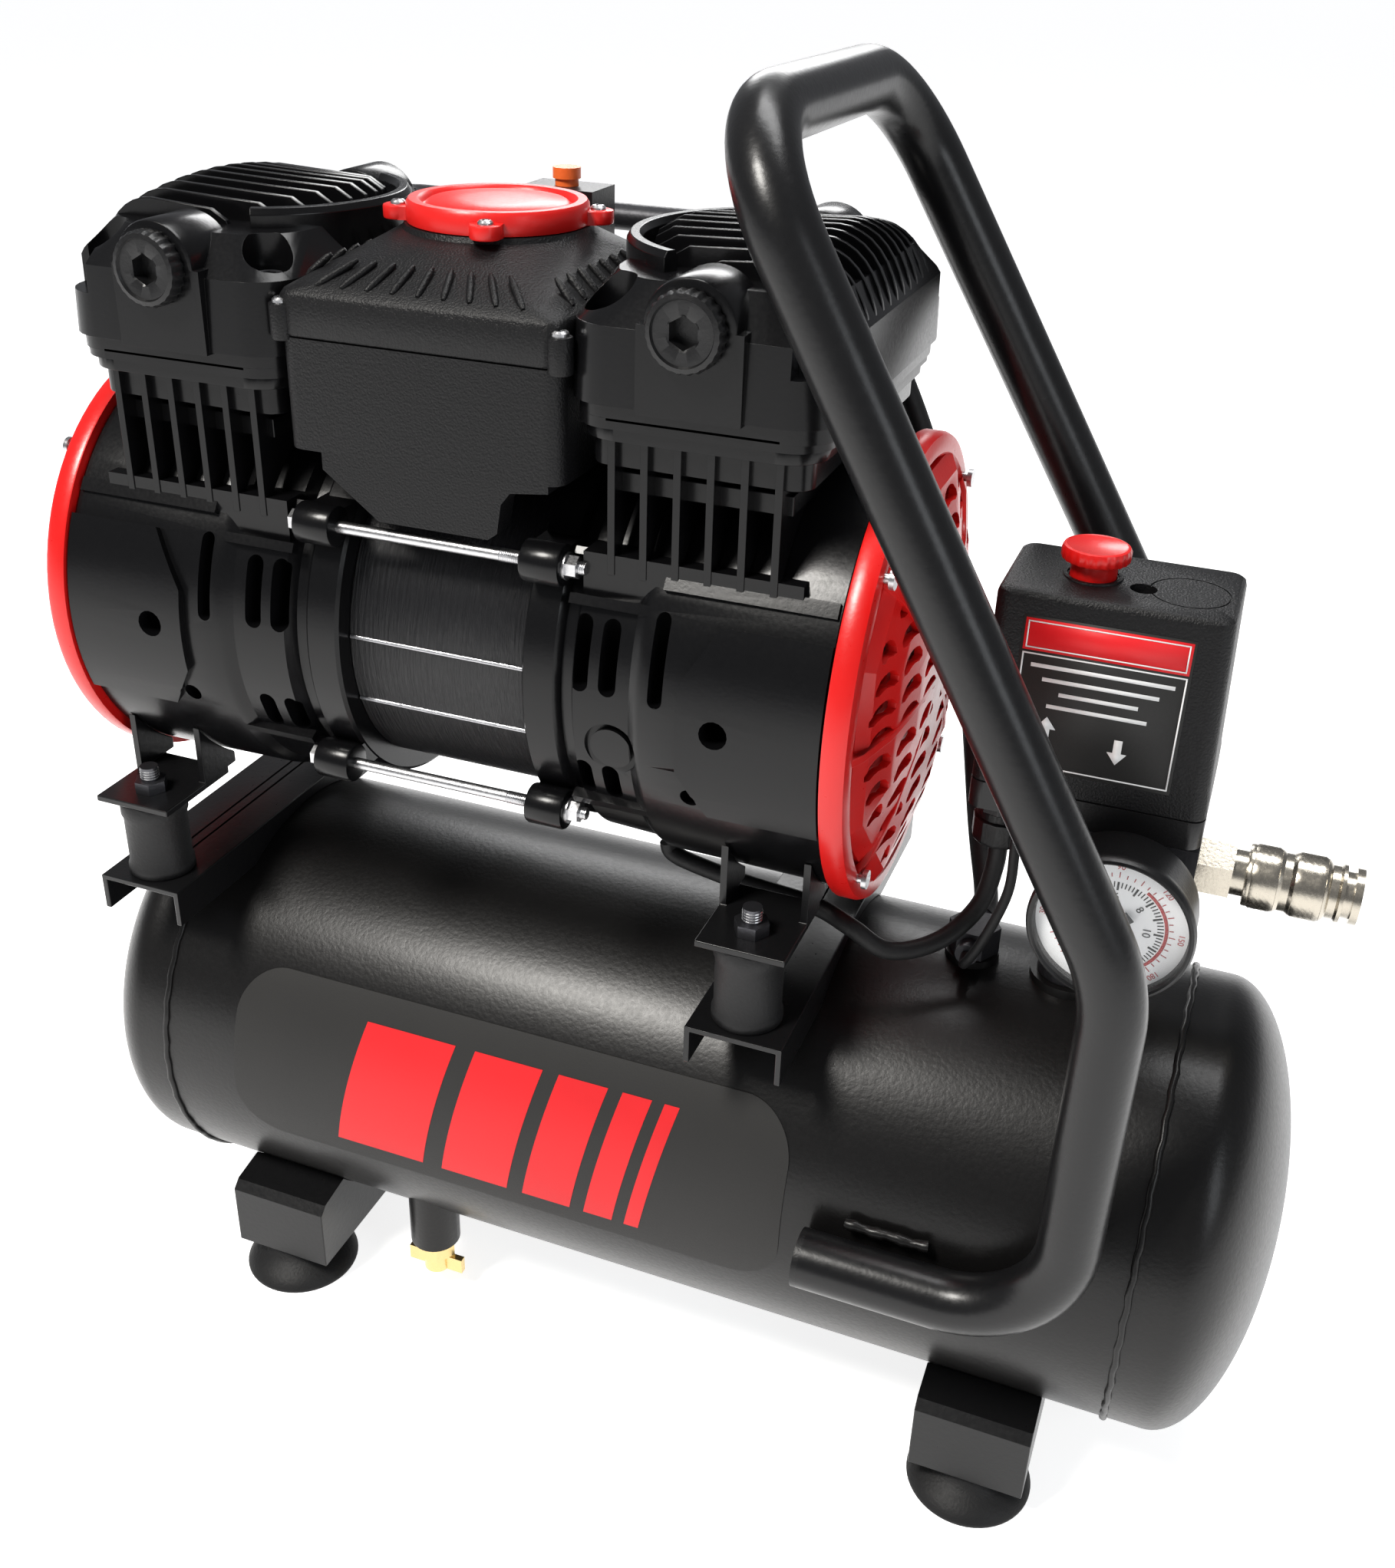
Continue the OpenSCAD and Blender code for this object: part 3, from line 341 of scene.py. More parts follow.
def flipy(g):
    for v in g.bm.verts: v.co.y = -v.co.y
    bmesh.ops.reverse_faces(g.bm, faces=g.bm.faces)
    return g
def slot_y(x, z, w, h, depth=14, tilt=0, R=100, r0=62):
    """A round-ended cutter through the front wall, w wide along X and h tall."""
    r = w / 2; pts = []
    for i in range(9): a = radians(i * 180 / 8); pts.append((z + h / 2 - r + r * sin(a), x + r * cos(a)))
    for i in range(9): a = radians(180 + i * 180 / 8); pts.append((z - h / 2 + r + r * sin(a), x + r * cos(a)))
    g = G(); g.prism(pts, -R - 10, -r0, axis="Y")
    return g

def housing(s):
    g = G()
    g.lathe([(70, 42), (84.5, 42), (86, 43.2), (86, 56), (84.6, 57.5), (82.5, 58.5), (83, 63), (88.5, 66), (89.5, 90), (91.5, 93), (93, 96), (94, 168.8), (93.2, 170), (80, 170), (79, 160), (60, 160), (60, 60)], axis="X", seg=128)
    add = []
    for j in (-1, 1):
        for k in (-1, 1):   # tie rod lugs
            l = G().cyl(8.6, 42, 59, o=(0, j * 78, k * 54), axis="X", seg=28, ch=1.2); add.append(l)
            b = G(); w0, w1 = sorted((j * 55, j * 79)); b.box((42.5, w0, min(k * 48, k * 60)), (58.5, w1, max(k * 48, k * 60))); add.append(b)
    add.append(G().prism([(66, -77.5), (154, -77.5), (154, 77.5), (66, 77.5)], 40, 61))
    for sg in (1, -1):
        P = [(112, -16), (124, -36), (169, -36), (169, 44), (126, 44), (112, 20)]
        w = wrap(P, 94, -3, 2.6)
        if sg < 0: flipy(w)
        add.append(w)
        for q in ([(62, 46), (98, 46), (98, 42), (62, 42)], [(62, -46), (104, -46), (104, -50), (62, -50)], [(100, 60), (168, 60), (168, 54), (100, 54)], [(60, 64), (96, 64), (96, 61), (60, 61)]):
            w = wrap(q, 91 if q[0][0] < 99 else 94, -3, 1.6)
            if sg < 0: flipy(w)
            add.append(w)
    cut = []
    for x in (68.5, 80.5):
        cut += [slot_y(x, 22, 7.5, 30), slot_y(x, -34, 7.5, 18)]
    cut += [slot_y(102, 26, 6, 36), slot_y(127.5, 3.5, 11.5, 11.5), slot_y(116, -30, 8, 8)]
    if s > 0:
        cut.append(G().lathe([(9, -100), (11.5, -100), (11.5, -85.5), (9, -85.5)], o=(82, 0, -16), axis="Y", seg=32, solid=False))
    back = []
    for c in list(cut):
        d = G(); d.bm = c.bm.copy(); back.append(flipy(d))
    cut += back
    cut.append(G().cyl(33, 40, 112, o=(110, 0, 0), seg=48))    # bore for the connecting rod
    return g, dict(cut=cut, add=add)
both("crankcase", housing, cast_m, rep2="housing", slot="cast_black", bevel=0.7, ang=35)

# ------------------------------------------------------------------ fan covers
def fan_cover(s):
    g = G()
    g.lathe([(88, 170.2), (97.6, 170.2), (98, 171), (98, 177.5), (97, 179.5), (94, 180.4), (90, 180.4), (88, 178.5)], axis="X", seg=96, solid=False)
    d = G()
    prof = [(92, 175), (92, 179.5), (84, 183.5), (62, 188.5), (34, 191.2), (0.02, 192), (0.02, 188.6), (34, 187.8), (61, 185.2), (82, 180.6), (88, 177), (88, 175)]
    d.lathe(prof[:-1], axis="X", seg=8, phase=pi / 8, solid=True)
    cut = []
    for j in (-1, 1):
        for i in range(-6, 7):
            z = i * 11.6; w = sqrt(max(0, 80 * 80 - z * z))
            for c0, c1 in ((6, 27), (32, 54), (59, 79)):
                y0, y1 = c0, min(c1, w)
                if y1 - y0 < 7: continue
                n = 6; up = []; lo = []
                for q in range(n + 1):
                    t = q / n; y = y0 + (y1 - y0) * t; zz = z + 2.6 * sin(pi * t)
                    e = 3.3 * sqrt(max(0.12, 1 - (2 * t - 1) ** 6))
                    up.append((y * j, zz + e)); lo.append((y * j, zz - e))
                cut.append(G().prism(up + lo[::-1], 172, 200, axis="X"))
    # a dark disc right behind the grille slots, painted shade standing in for the shadow inside the cover
    shade_disc = G(); shade_disc.cyl(86, 174.2, 175.6, axis="X", seg=48)
    build("fan_shade_disc_" + ("right" if s > 0 else "left"), shade_disc, shade_sheet_m, slot="black_plastic", M=AT, flip_x=s < 0)
    ribs = G()
    for a in (45, 135, 225, 315, 0, 180):
        c, s_ = cos(radians(a)), sin(radians(a))
        for (r0, x0), (r1, x1) in zip([(0, 191.6), (34, 190.8), (62, 188.1), (84, 183.0)], [(34, 190.8), (62, 188.1), (84, 183.0), (92, 179.2)]):
            t = Vector((0, -s_, c)) * 1.7
            A = Vector((0, r0 * c, r0 * s_)); B = Vector((0, r1 * c, r1 * s_))
            ring0 = [A - t + Vector((x0 - 3, 0, 0)), A + t + Vector((x0 - 3, 0, 0)), A + t + Vector((x0 + .4, 0, 0)), A - t + Vector((x0 + .4, 0, 0))]
            ring1 = [B - t + Vector((x1 - 3, 0, 0)), B + t + Vector((x1 - 3, 0, 0)), B + t + Vector((x1 + .4, 0, 0)), B - t + Vector((x1 + .4, 0, 0))]
            ribs.rings([ring0, ring1])
    build("fan_grille_" + ("right" if s > 0 else "left"), d, red_m, slot="red_plastic", M=AT, flip_x=s < 0, cut=cut, ang=12)
    build("fan_ribs_" + ("right" if s > 0 else "left"), ribs, red_m, slot="red_plastic", M=AT, flip_x=s < 0, bevel=0.4)
    return g, {}
both("fan_rim", fan_cover, red_m, rep2="fan_cover", slot="red_plastic", ang=40)

# ------------------------------------------------------------------ cylinder heads
DK = 111.0
def head(s):
    g = G()
    g.prism(off(rrect(99, 164, 16), 110.5, 0), DK + 3, DK + 10)
    add = []
    add.append(G().prism(off(rrect(103, 169, 18), 110.5, 0), DK + 9, DK + 37, top=off(rrect(102, 166, 18), 110.5, 0)))
    add.append(G().prism(off(rrect(102, 166, 18), 110.5, 0), DK + 36.8, DK + 51, top=off(rrect(88, 134, 26), 110.5, 0)))
    for j in (-1, 1):
        a, b = sorted((j * 58, j * 86.5))
        add.append(G().cyl(17.5, a, b, o=(110, 0, DK + 40), axis="Y", seg=48, ch=1.5))
        add.append(G().box((90, a, DK + 8), (130, b, DK + 40)))
    cut = []
    for i in (-1, 1):
        for j in (-1, 1):
            cut.append(G().cyl(9.5, DK + 26, DK + 80, o=(110 + i * 38, j * 66, 0), seg=32))
            a, b = sorted((j * 66, j * 90)); x = 110 + i * 38
            if i > 0: cut.append(G().box((x - 2, a, DK + 26), (x + 24, b, DK + 80)))
    for j in (-1, 1):
        cut.append(G().lathe([(13, j * 95), (13, j * 82)] if j > 0 else [(13, -95), (13, -82)], o=(110, 0, DK + 40), axis="Y", seg=40))
    # fins
    fins = G()
    n = 11
    for i in range(n):
        y = -50 + i * 100 / (n - 1)
        xi = 110 - sqrt(max(0, 54 * 54 - y * y)) + 8
        t = 1.2
        dz = -5.5 * (y / 50) ** 2
        P = [(xi, DK + 45), (xi + 3, DK + 58 + dz), (xi + 10, DK + 62 + dz)] + [(136 + 25.6 * sin(radians(q)), DK + 30 + (34 + dz) * cos(radians(q))) for q in range(0, 91, 10)] + [(161.6, DK + 14), (140, DK + 14)]
        pts0 = [Vector((p[0], y - t, p[1])) for p in P]; pts1 = [Vector((p[0], y + t, p[1])) for p in P]
        fins.rings([pts0, pts1])
    build("head_fins_" + ("right" if s > 0 else "left"), fins, cast_m, slot="cast_black", M=AT, flip_x=s < 0, bevel=0.4)
    arc = G()
    pr = [(61, DK + 40), (61, DK + 56), (59.5, DK + 58.5), (56, DK + 58.5), (54.5, DK + 56), (54.5, DK + 40)]
    vs = []
    for q in range(33):
        a = radians(118 + 124 * q / 32)
        vs.append([Vector((116 + r * cos(a), r * sin(a), z)) for r, z in pr])
    arc.rings(vs)
    build("head_rim_" + ("right" if s > 0 else "left"), arc, cast_m, slot="cast_black", M=AT, flip_x=s < 0, bevel=0.4)
    return g, dict(add=add, cut=cut)
both("head_body", head, cast_m, rep2="cylinder_head", slot="cast_black", bevel=1.0, ang=35)

g = G()
for s in (-1, 1):   # knobbly socket plugs
    n = 96; o = Vector((s * 110, 0, DK + 40)); rr = []
    for r, h, kn in ((10, -85.5, 0), (13.9, -86.2, 0.6), (14.5, -87.5, 0.6), (14.5, -91.5, 0.6), (13.6, -93.4, 0.2), (11.8, -93.9, 0), (11.2, -92.8, 0), (6.4, -92.8, 0), (5.6, -92.2, 0), (5.4, -86.5, 0)):
        ring = []
        for i in range(n):
            a = 2 * pi * i / n
            if r < 6.0:
                q = 5.2 / max(cos(((a + pi / 6) % (pi / 3)) - pi / 6), 0.5)
            else:
                q = r + kn * (1 if (i // 2) % 2 else 0) - kn
            ring.append(o + Vector((q * cos(a), h, q * sin(a))))
        rr.append(ring)
    g.rings(rr)
build("port_plugs", g, plas2_m, slot="black_plastic", rep=("head_port_plugs",), M=AT, ang=30)

# ------------------------------------------------------------------ cylinder webs: a rounded plate and a flat block below each head
def webs(s):
    g = G(); g.prism(off(rrect(86, 150, 8), 110, 0), DK - 16, DK - 4.5)
    g.box((74, -70, 84), (146, 70, 92))
    return g, {}
both("cylinder_web", webs, cast_m, slot="cast_black", bevel=0.6)

# ------------------------------------------------------------------ filter box
X0, Y0, Y1, Z0, Z1 = 59.4, -83.0, 40.0, 445.0, 489.0
yc = (Y0 + Y1) / 2
MB = Matrix.Translation((PX, 0, 0))
g = G(); g.prism(off(rrect(2 * X0, Y1 - Y0, 7), 0, yc), Z0, Z1 - 0.5)
tg = G().prism([(Z0 + 4, -44), (Z0 - 7, -44), (Z0 - 25, -20), (Z0 - 25, 28), (Z0 - 22, 32), (Z0 - 10, 34), (Z0 - 5, 38), (Z0 - 3, 54), (Z0 + 4, 54)], Y0 + 0.3, Y0 + 12, axis="Y")
build("filter_box_body", g, plas_m, slot="black_plastic", rep=("filter_box_base",), M=MB, add=[tg], bevel=1.3, seg=3)
g = G()
n = 8
def ring(w, d, r, z, y): return [Vector((p[0], p[1] + y, z)) for p in rrect(w, d, r, n)]
rr = [ring(2 * X0 - 1, Y1 - Y0 - 1, 7, Z1, yc), ring(2 * X0 + 0.6, Y1 - Y0 + 0.6, 7.3, Z1 + 1, yc), ring(2 * X0 + 0.6, Y1 - Y0 + 0.6, 7.3, Z1 + 15, yc), ring(2 * X0 - 1.4, Y1 - Y0 - 1.4, 8, Z1 + 17, yc)]
for t in (0.25, 0.5, 0.75, 1.0):
    w = (2 * X0 - 1.4) * (1 - t) + 80 * t; d = (Y1 - Y0 - 1.4) * (1 - t) + 84 * t; rad = 8 * (1 - t) + 36 * t
    rr.append(ring(w, d, min(rad, w / 2 - .05, d / 2 - .05), Z1 + 17 + 15 * t, yc * (1 - t) - 14 * t))
rr.append(ring(76, 76, 37.9, Z1 + 34, -12)); rr.append(ring(74, 74, 36.9, 525, -12))
g.rings(rr)
for i in range(9):    # raised bars on the front slope
    x = -40 + i * 10
    a = Vector((x * 1.08, Y0 + 4.3, Z1 + 19.2)); b = Vector((x * 0.80, Y0 + 17, Z1 + 27.4))
    g.tube([a + (b - a) * t / 6 for t in range(7)], 1.4, 10, radii=[0.8, 1.4, 1.45, 1.45, 1.45, 1.4, 0.8])
for i in range(8):
    y = -64 + i * 11
    for sx in (-1, 1):
        a = Vector((sx * (X0 - 3.2), y, Z1 + 19.2)); b = Vector((sx * (X0 - 12), y * 0.9 - 2, Z1 + 27.2))
        g.tube([a + (b - a) * t / 6 for t in range(7)], 1.4, 10, radii=[0.8, 1.4, 1.45, 1.45, 1.45, 1.4, 0.8])
build("filter_box_top", g, plas_m, slot="black_plastic", rep=("filter_box_lid",), M=MB, bevel=0.0, ang=40)
g = G()
for x, y in ((-X0 + 1, Y0 + 3), (X0 - 1, Y0 + 3), (-X0 + 1, Y1 - 3), (X0 - 1, Y1 - 3)):
    g.cyl(4.8, Z1 - 2, Z1 + 12, o=(x, y, 0), seg=24, ch=0.8)
build("filter_box_ears", g, plas_m, slot="black_plastic", M=MB)
def cross_head(x, y, z, r=3.4, axis="Z"):
    g = G(); g.lathe([(r * 0.6, z - 1.0), (r, z - 0.6), (r * 0.96, z + 0.5), (r * 0.7, z + 1.3), (0.01, z + 1.6)], o=(x, y, 0) if axis == "Z" else (0, x, y), axis=axis, seg=24)
    return g
def crossed(name, pts, r=3.4, axis="Z", M=None):
    g = G(); cut = []
    for x, y, z in pts:
        h = cross_head(x, y, z, r, axis)
        me = bpy.data.meshes.new("t"); h.bm.to_mesh(me); g.bm.from_mesh(me)
        for w in (0, 1):
            if axis == "Z":
                a, b = (r * 0.62, 0.5) if w else (0.5, r * 0.62)
                cut.append(G().box((x - a, y - b, z + 0.5), (x + a, y + b, z + 3)))
            else:
                a, b = (r * 0.62, 0.5) if w else (0.5, r * 0.62)
                cut.append(G().box((z + 0.5, x - a, y - b), (z + 3, x + a, y + b)))
    build(name, g, zinc_m, slot="zinc", M=M, cut=cut, ang=35)
crossed("filter_box_screws", [(-X0 + 1, Y0 + 3, Z1 + 12.6), (X0 - 1, Y0 + 3, Z1 + 12.6), (-X0 + 1, Y1 - 3, Z1 + 12.6), (X0 - 1, Y1 - 3, Z1 + 12.6)], M=MB)
# cap
g = G()
o = (0, -12, 0)
g.lathe([(34, 525.1), (36, 525.4), (36.4, 527), (36, 532.6), (35, 534), (31.5, 534), (30.2, 533), (29.6, 531.4), (28.8, 531.2), (28.2, 532.4), (27, 533.2), (14, 533.8), (0.01, 534)], o=o, seg=96)
add = []
lug = []
for a in (20, 110, 200, 290):
    c, s_ = cos(radians(a)), sin(radians(a)); P = (39.4 * c, -12 + 39.4 * s_)
    add.append(G().cyl(6.2, 525.2, 530.6, o=(P[0], P[1], 0), seg=28, ch=0.8))
    q = [Vector((30 * c - 7 * s_, -12 + 30 * s_ + 7 * c, 0)), Vector((30 * c + 7 * s_, -12 + 30 * s_ - 7 * c, 0)), Vector((39 * c + 6 * s_, -12 + 39 * s_ - 6 * c, 0)), Vector((39 * c - 6 * s_, -12 + 39 * s_ + 6 * c, 0))]
    add.append(G().prism([(v.x, v.y) for v in q], 525.3, 530.4)); lug.append((P[0], P[1], 530.9))
build("intake_cap", g, cap_m, slot="red_plastic", rep=("filter_cap",), M=MB, add=add, ang=35)
crossed("cap_screws", lug, 3.2, M=MB)

# ------------------------------------------------------------------ rubber mounts
g = G()
for i in (-1, 1):
    for j in (-1, 1):
        g.lathe([(5, 234.1), (14.6, 234.1), (15, 234.6), (15, 238), (14.2, 239.4), (14.2, 263), (15, 265), (15, 271), (14.4, 271.8), (5, 271.8)], o=(PX + i * 145, j * 90, 0), seg=48)
build("bobbins", g, rub_m, slot="rubber", rep=("rubber_mounts",), ang=40)

# ------------------------------------------------------------------ hoses and leads
def crom(c, m=8):
    c = [Vector(p) for p in c]; n = len(c); out = []
    for i in range(n - 1):
        p0, p1, p2, p3 = c[max(i - 1, 0)], c[i], c[i + 1], c[min(i + 2, n - 1)]
        for j in range(m):
            t = j / m
            out.append(0.5 * ((2 * p1) + (p2 - p0) * t + (2 * p0 - 5 * p1 + 4 * p2 - p3) * t * t + (3 * p1 - p0 - 3 * p2 + p3) * t * t * t))
    out.append(c[-1]); return out
VX, VZ = 137, TZ + TR + 9
hose1 = [(10, 108.1, 510), (10, 114, 510), (20, 119, 498), (42, 119, 468), (68, 116, 420), (90, 110, 362), (107, 93, 310), (124, 58, 262), (134, 36, 242), (VX, 24, VZ), (VX, 16.1, VZ)]
cab1 = [(143, -8, 297), (143, -9, 280), (139, -16, 262), (126, -30, 250), (108, -42, 248), (92, -46, 258), (74, -42, 262), (40, -34, 260), (12, -26, 259), (2, -24, 261), (0, -24, 266.2)]
tub1 = [(VX, -16.1, VZ), (VX + 1, -24, VZ + 1), (145, -26, 254), (152, -24, 278), (152, -22, 300), (152, -21, 317.8)]
g = G(); g.tube(crom(hose1), 5.5, 20); g.tube(crom(tub1), 2.2, 14)
build("air_lines", g, rub_m, slot="rubber", rep=("air_hoses",), ang=60)
g = G(); g.tube(crom(cab1), 4.0, 20)
build("motor_lead", g, rub_m, slot="rubber", rep=("motor_cable",), ang=60)

# ------------------------------------------------------------------ pressure switch
SX, SZ = 177.0, 318.0
TOP = SZ + 94.5
g = G()
def sr(w, d, r, z, x=0): return [Vector((SX + x + p[0], p[1], z)) for p in rrect(w, d, r, 6)]
g.rings([sr(91, 59, 5.5, SZ + 12.1), sr(92, 60, 6, SZ + 12.8), sr(91.6, 59.8, 6, SZ + 22), sr(91, 59.4, 6, SZ + 24), sr(88.2, 57.2, 6, TOP - 3, -1), sr(87, 56, 5.6, TOP - 1, -1), sr(84.5, 53.5, 5, TOP, -1)])
cut = [G().cyl(9.3, TOP - 20, TOP + 5, o=(SX - 13, 0, 0), seg=40), G().cyl(5.2, TOP - 6, TOP + 5, o=(SX + 7, -6, 0), seg=32),
       G().lathe([(14.6, TOP - 0.5), (15.3, TOP - 0.5), (15.3, TOP + 2), (14.6, TOP + 2)], o=(SX + 24, -3, 0), seg=48, solid=False)]
build("switch_housing", g, plas_m, slot="black_plastic", rep=("switch_cover",), cut=cut, ang=35)
g = G(); g.lathe([(10, TOP), (11.6, TOP), (11.4, TOP + 0.5), (10, TOP + 0.6)], o=(SX - 13, 0, 0), seg=40, solid=False)
build("switch_collar", g, plas_m, slot="black_plastic")
g = G(); KX = SX - 13
g.lathe([(8.6, TOP - 12), (9, TOP - 11.5), (9, TOP + 6.5), (10, TOP + 6.8)], o=(KX, 0, 0), seg=48)
n = 96; rr = []
for r, z in ((9, TOP + 6.8), (12.8, TOP + 6.9), (13.3, TOP + 7.6), (13.3, TOP + 11.0), (12.6, TOP + 12.2), (11.6, TOP + 12.5), (10.8, TOP + 12.1), (0.02, TOP + 11.9)):
    rr.append([Vector((KX + (r - (0.35 if (i % 4 < 2 and 12.7 < r) else 0)) * cos(2 * pi * i / n), (r - (0.35 if (i % 4 < 2 and 12.7 < r) else 0)) * sin(2 * pi * i / n), z)) for i in range(n)])
g.rings(rr)
build("switch_button", g, red_m, body="knob", slot="red_plastic", rep=("switch_knob",), ang=35)
# label: a plain panel with a red band, a thin border and two arrows
def face_y(z): return -(59.4 / 2 - (59.4 - 57.2) / 2 * (z - (SZ + 24)) / (TOP - 3 - SZ - 24)) - 0.12
def quad(g, x0, z0, x1, z1, lift=0.0):
    g.bm.faces.new([g.bm.verts.new((x, face_y(z) - lift, z)) for x, z in ((x0, z0), (x1, z0), (x1, z1), (x0, z1))])
def solid(ob):
    md = ob.modifiers.new("thick", "SOLIDIFY"); md.thickness = 0.0001; md.offset = 0
LX0, LX1, LZ1 = SX - 33, SX + 31, SZ + 86
g = G(); quad(g, LX0, SZ + 22, LX1, LZ1); solid(build("label_panel", g, decal_m, slot="decal", weld=False))
g = G(); quad(g, LX0 + 1, LZ1 - 14, LX1 - 1, LZ1 - 1, 0.12); solid(build("label_band", g, decal_r, slot="red_plastic", weld=False))
g = G()
def frame_q(x0, z0, x1, z1, w, lift):
    quad(g, x0, z0, x1, z0 + w, lift); quad(g, x0, z1 - w, x1, z1, lift); quad(g, x0, z0 + w, x0 + w, z1 - w, lift); quad(g, x1 - w, z0 + w, x1, z1 - w, lift)
frame_q(LX0 + 1.2, SZ + 23.5, LX1 - 1.2, LZ1 - 15, 0.6, 0.14)
frame_q(LX0 + 2, LZ1 - 13, LX1 - 2, LZ1 - 2, 0.5, 0.24)
def arrow(cx, cz, up):
    d = 1 if up else -1
    P = [(cx - 1.6, cz - 5 * d), (cx + 1.6, cz - 5 * d), (cx + 1.6, cz + 0.5 * d), (cx + 3.8, cz + 0.5 * d), (cx, cz + 5.5 * d), (cx - 3.8, cz + 0.5 * d), (cx - 1.6, cz + 0.5 * d)]
    g.bm.faces.new([g.bm.verts.new((x, face_y(z) - 0.16, z)) for x, z in P])
arrow(LX0 + 14, SZ + 40, True); arrow(LX1 - 22, SZ + 36, False)
for i, (x0, x1) in enumerate(((5, 59), (10, 54), (17, 47), (13, 51))):
    quad(g, LX0 + x0, LZ1 - 20.6 - 5.4 * i, LX0 + x1, LZ1 - 19 - 5.4 * i, 0.14)
solid(build("label_marks", g, white_m, slot="dial_white", weld=False))
# gland nut
g = G(); g.lathe([(9, 293.8), (11.2, 294.2), (11.8, 296), (11.8, 305), (10.4, 306), (10.4, 309), (12.5, 310), (12.5, 318)], o=(143, -8, 0), seg=12)
g.lathe([(4.2, 297.0), (7, 297.2), (8, 299), (4.2, 299)], o=(143, -8, 0), seg=32)
build("cable_gland", g, plas2_m, slot="black_plastic", ang=25, bevel=0.4)

# ------------------------------------------------------------------ gauge
GX, GY, GZ = 197.0, -66.0, 296.0
MG = Matrix.Translation((GX, 0, GZ))
g = G(); g.lathe([(5, -39), (28, -39), (30.6, -40.5), (31, -44), (31, -58), (31.6, -60), (32, -62), (32, -64), (31.2, -65.6), (30.2, -66), (29.4, -65.4), (29.1, -63.5), (29.0, -60.4), (29.0, -59.2), (4, -59.2)], axis="Y", seg=96)
g.lathe([(7, -39.5), (7, -34.3)], axis="Y", seg=32)
build("gauge_shell", g, plas2_m, slot="black_plastic", rep=("gauge_case",), M=MG, ang=35)
g = G(); g.lathe([(0.02, -63.6), (29.0, -63.4), (29.0, -62.9), (0.02, -63.1)], axis="Y", seg=64)
build("gauge_lens", g, glass_m, slot="dial_white", M=MG)
def polar(r, a, y): return Vector((r * sin(radians(a)), y, r * cos(radians(a))))
def tick(g, a, r0, r1, w, y):
    t = Vector((cos(radians(a)), 0, -sin(radians(a)))) * w / 2
    g.bm.faces.new([g.bm.verts.new(v) for v in (polar(r0, a, y) - t, polar(r0, a, y) + t, polar(r1, a, y) + t, polar(r1, a, y) - t)])
g = G(); gr = G(); yd = -60.28
for i in range(61):
    a = -135 + 270 * i / 60
    tick(g, a, 17.2 if i % 5 else 16.0, 19.6, 0.45 if i % 5 else 0.8, yd)
for i in range(37):
    a = -135 + 270 * i / 36
    tick(gr, a, 21.6, 23.2 if i % 3 else 24.0, 0.35, yd)
for i in range(40):
    a = -135 + 270 * (0.62 + 0.38 * i / 40); a2 = -135 + 270 * (0.62 + 0.38 * (i + 1) / 40)
    gr.bm.faces.new([gr.bm.verts.new(v) for v in (polar(20.0, a, yd), polar(20.0, a2, yd), polar(21.3, a2, yd), polar(21.3, a, yd))])
def numbers(lst, r, size, m, name):
    obs = []
    for txt, a in lst:
        cu = bpy.data.curves.new("n", "FONT"); cu.body = txt; cu.size = size * K; cu.align_x = "CENTER"; cu.align_y = "CENTER"; cu.extrude = 0.00004
        o = bpy.data.objects.new("n", cu); bpy.context.scene.collection.objects.link(o)
        p = polar(r, a, yd - 0.05); o.location = (Vector((GX, 0, GZ)) + p) * K
        o.rotation_euler = (radians(90), radians(a) if abs(a) < 100 else radians(a), 0)
        obs.append(o)
    bpy.context.view_layer.update(); dg = bpy.context.evaluated_depsgraph_get()
    bm = bmesh.new()
    for o in obs:
        me = bpy.data.meshes.new_from_object(o.evaluated_get(dg)); me.transform(o.matrix_world); bm.from_mesh(me); bpy.data.meshes.remove(me)
    for o in obs: bpy.data.objects.remove(o)
    me = bpy.data.meshes.new(name); bm.to_mesh(me); bm.free()
    o = bpy.data.objects.new(name, me); bpy.context.scene.collection.objects.link(o); me.materials.append(m)
    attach(o, "frame"); return o
numbers([(str(v), -135 + 270 * v / 12) for v in (0, 2, 4, 6, 8, 10, 12)], 13.2, 4.4, ink_m, "dial_numbers")
numbers([(str(v), -135 + 270 * v / 180) for v in (30, 60, 90, 120, 150, 180)], 26.2, 3.3, inkr_m, "dial_numbers_outer")
solid(build("dial_ticks", g, ink_m, slot="black_plastic", M=MG, weld=False))
solid(build("dial_arc", gr, inkr_m, slot="red_plastic", M=MG, weld=False))
g = G()
g.lathe([(1.5, -50), (1.5, -61.4), (3.2, -61.5), (3.2, -62.4), (2.2, -62.8), (0.02, -62.9)][::-1], axis="Y", seg=32)
def blade(P, y0, y1, rot):
    c, s_ = cos(radians(rot)), sin(radians(rot))
    Q = [(x * c + z * s_, -x * s_ + z * c) for x, z in P]
    g.rings([[Vector((x, y0, z)) for x, z in Q], [Vector((x, y1, z)) for x, z in Q]])
blade([(-1.3, 0), (-0.4, 21), (0, 22), (0.4, 21), (1.3, 0)], -62.4, -61.7, -135)
blade([(-1.5, 0), (-2.4, 9), (2.4, 9), (1.5, 0)], -62.4, -61.7, 45)
build("pointer", g, ink_m, body="needle", slot="black_plastic", rep=("gauge_needle",), M=MG, ang=35)

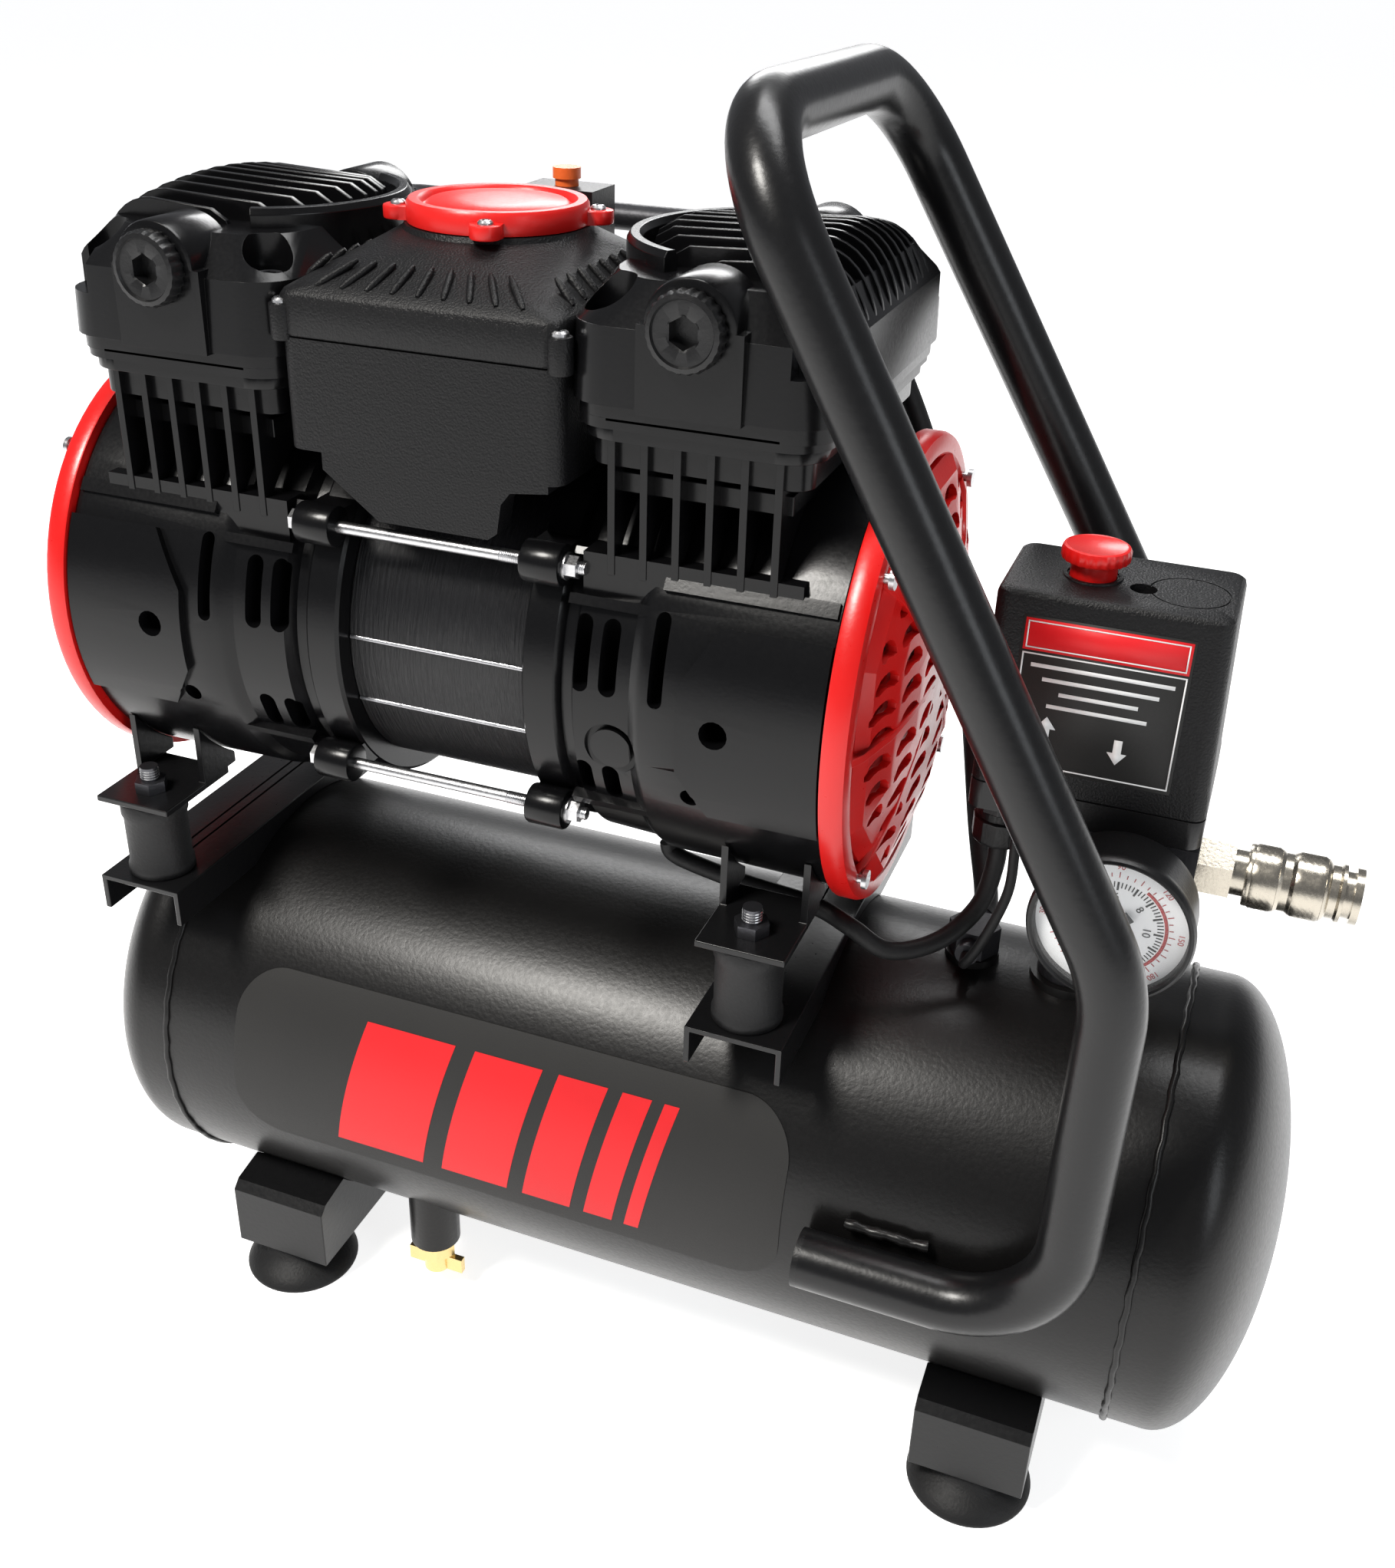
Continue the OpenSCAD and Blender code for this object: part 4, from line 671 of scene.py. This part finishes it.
# ------------------------------------------------------------------ quick coupler
CZ = 296.0
def knurl(r, x0, x1, dep=0.6, n=48, m=None):
    m = m or max(6, int((x1 - x0) / 1.25)); rr = []
    for i in range(m + 1):
        x = x0 + (x1 - x0) * i / m; ring = []
        for j in range(n):
            e = 0 if i in (0, m) else dep * (0.5 + 0.5 * (1 if (i + j) % 2 else -1))
            ring.append(Vector((x, (r - dep + e) * cos(2 * pi * j / n), (r - dep + e) * sin(2 * pi * j / n))))
        rr.append(ring)
    return rr
MC = Matrix.Translation((0, 0, CZ))
g = G()
def solid_rings(rr): g.rings(rr)
g.lathe([(9.5, 242.0), (12.6, 242.3), (12.9, 243), (12.9, 244.2)], axis="X", seg=72)
solid_rings(knurl(13.3, 244.2, 254.5))
g.lathe([(12.9, 254.5), (12.4, 255.3), (11.9, 256), (11.9, 259), (12.4, 259.7), (12.9, 260.5)], axis="X", seg=72)
solid_rings(knurl(13.3, 260.5, 272))
g.lathe([(12.9, 272), (12.2, 273), (10.8, 274), (10.8, 277), (11.8, 278), (11.8, 279.4), (11.0, 279.5)], axis="X", seg=72)
build("coupler_ring", g, nickel_m, body="sleeve", slot="nickel", rep=("coupler_sleeve",), M=MC, ang=28)
# ------------------------------------------------------------------ threads on studs and tie rods
def thread(g, o, axis, r, h0, h1, pitch=1.0, seg=20):
    n = int((h1 - h0) / (pitch / 2)); prof = []
    for i in range(n + 1): prof.append((r if i % 2 else r - pitch * 0.35, h0 + i * pitch / 2))
    g.lathe(prof, o=o, axis=axis, seg=seg)
g = G()
for i in (-1, 1):
    for j in (-1, 1):
        thread(g, (PX + i * 145, j * 90, 0), "Z", 4.25, 281, 286.6, 1.25)
for j in (-1, 1):
    for k in (-1, 1):
        thread(g, (PX, j * 78, PZ + k * 54), "X", 2.75, 64.8, 67.2, 0.8); thread(g, (PX, j * 78, PZ + k * 54), "X", 2.75, 31, 41.8, 0.8)
build("stud_threads", g, zinc_m, slot="zinc", ang=10)

# ------------------------------------------------------------------ stage, lights, camera
w = bpy.data.worlds.new("w"); bpy.context.scene.world = w; w.use_nodes = True
w.node_tree.nodes["Background"].inputs["Color"].default_value = (0.93, 0.95, 1.0, 1); w.node_tree.nodes["Background"].inputs["Strength"].default_value = 0.22
me = bpy.data.meshes.new("floor"); s = 24.0
me.from_pydata([(-s, -s, 0), (s, -s, 0), (s, s, 0), (-s, s, 0)], [], [(0, 1, 2, 3)])
fl = bpy.data.objects.new("floor", me); bpy.context.scene.collection.objects.link(fl)
fm = mat("floor_pale", (0.80, 0.80, 0.80), 0.7, bump=0.02, scale=60, spec=0.2); fb = fm.node_tree.nodes["Principled BSDF"]
fb.inputs["Emission Color"].default_value = (1, 1, 1, 1); fb.inputs["Emission Strength"].default_value = 0.82
me.materials.append(fm)
def area(name, loc, target, size, power, col=(1, 1, 1)):
    ld = bpy.data.lights.new(name, "AREA"); ld.shape = "RECTANGLE"; ld.size = size[0]; ld.size_y = size[1]; ld.energy = power; ld.color = col
    o = bpy.data.objects.new(name, ld); bpy.context.scene.collection.objects.link(o); o.location = loc
    o.rotation_mode = "QUATERNION"; o.rotation_quaternion = (Vector(target) - Vector(loc)).to_track_quat("-Z", "Y"); return o
area("key", (-0.7, -1.1, 2.0), (0, 0, 0.3), (0.5, 0.5), 50, (1.0, 0.97, 0.92))
area("fill", (1.9, -1.0, 1.2), (0, 0, 0.25), (0.7, 1.0), 8, (0.92, 0.96, 1.0))
area("top", (0.1, 0.5, 2.2), (0, 0, 0.3), (1.2, 0.7), 24)
area("rim", (-0.6, 1.9, 1.3), (0, 0, 0.3), (1.0, 0.6), 14)

F, CX, CY = 2121.98, 881.6, 1006.8
yaw, pit, rol = radians(20.790), radians(28.517), radians(1.546)
fwd = Vector((-sin(yaw) * cos(pit), cos(yaw) * cos(pit), -sin(pit)))
rt = Vector((cos(yaw), sin(yaw), 0)); up = rt.cross(fwd)
r2 = rt * cos(rol) + up * sin(rol); u2 = -rt * sin(rol) + up * cos(rol)
cd = bpy.data.cameras.new("cam"); cam = bpy.data.objects.new("cam", cd); bpy.context.scene.collection.objects.link(cam)
R3 = Matrix((r2, u2, -fwd)).transposed()
cam.matrix_world = Matrix.Translation(Vector((225.4, -609.9, 642.4)) * K) @ R3.to_4x4()
cd.lens = F * 36 / 2044; cd.sensor_width = 36; cd.clip_start = 0.01; cd.clip_end = 30
cd.shift_x = (909 - CX) / 2044; cd.shift_y = -(1022 - CY) / 2044
bpy.context.scene.camera = cam
bpy.context.scene.view_settings.view_transform = "AgX" if False else "Standard"
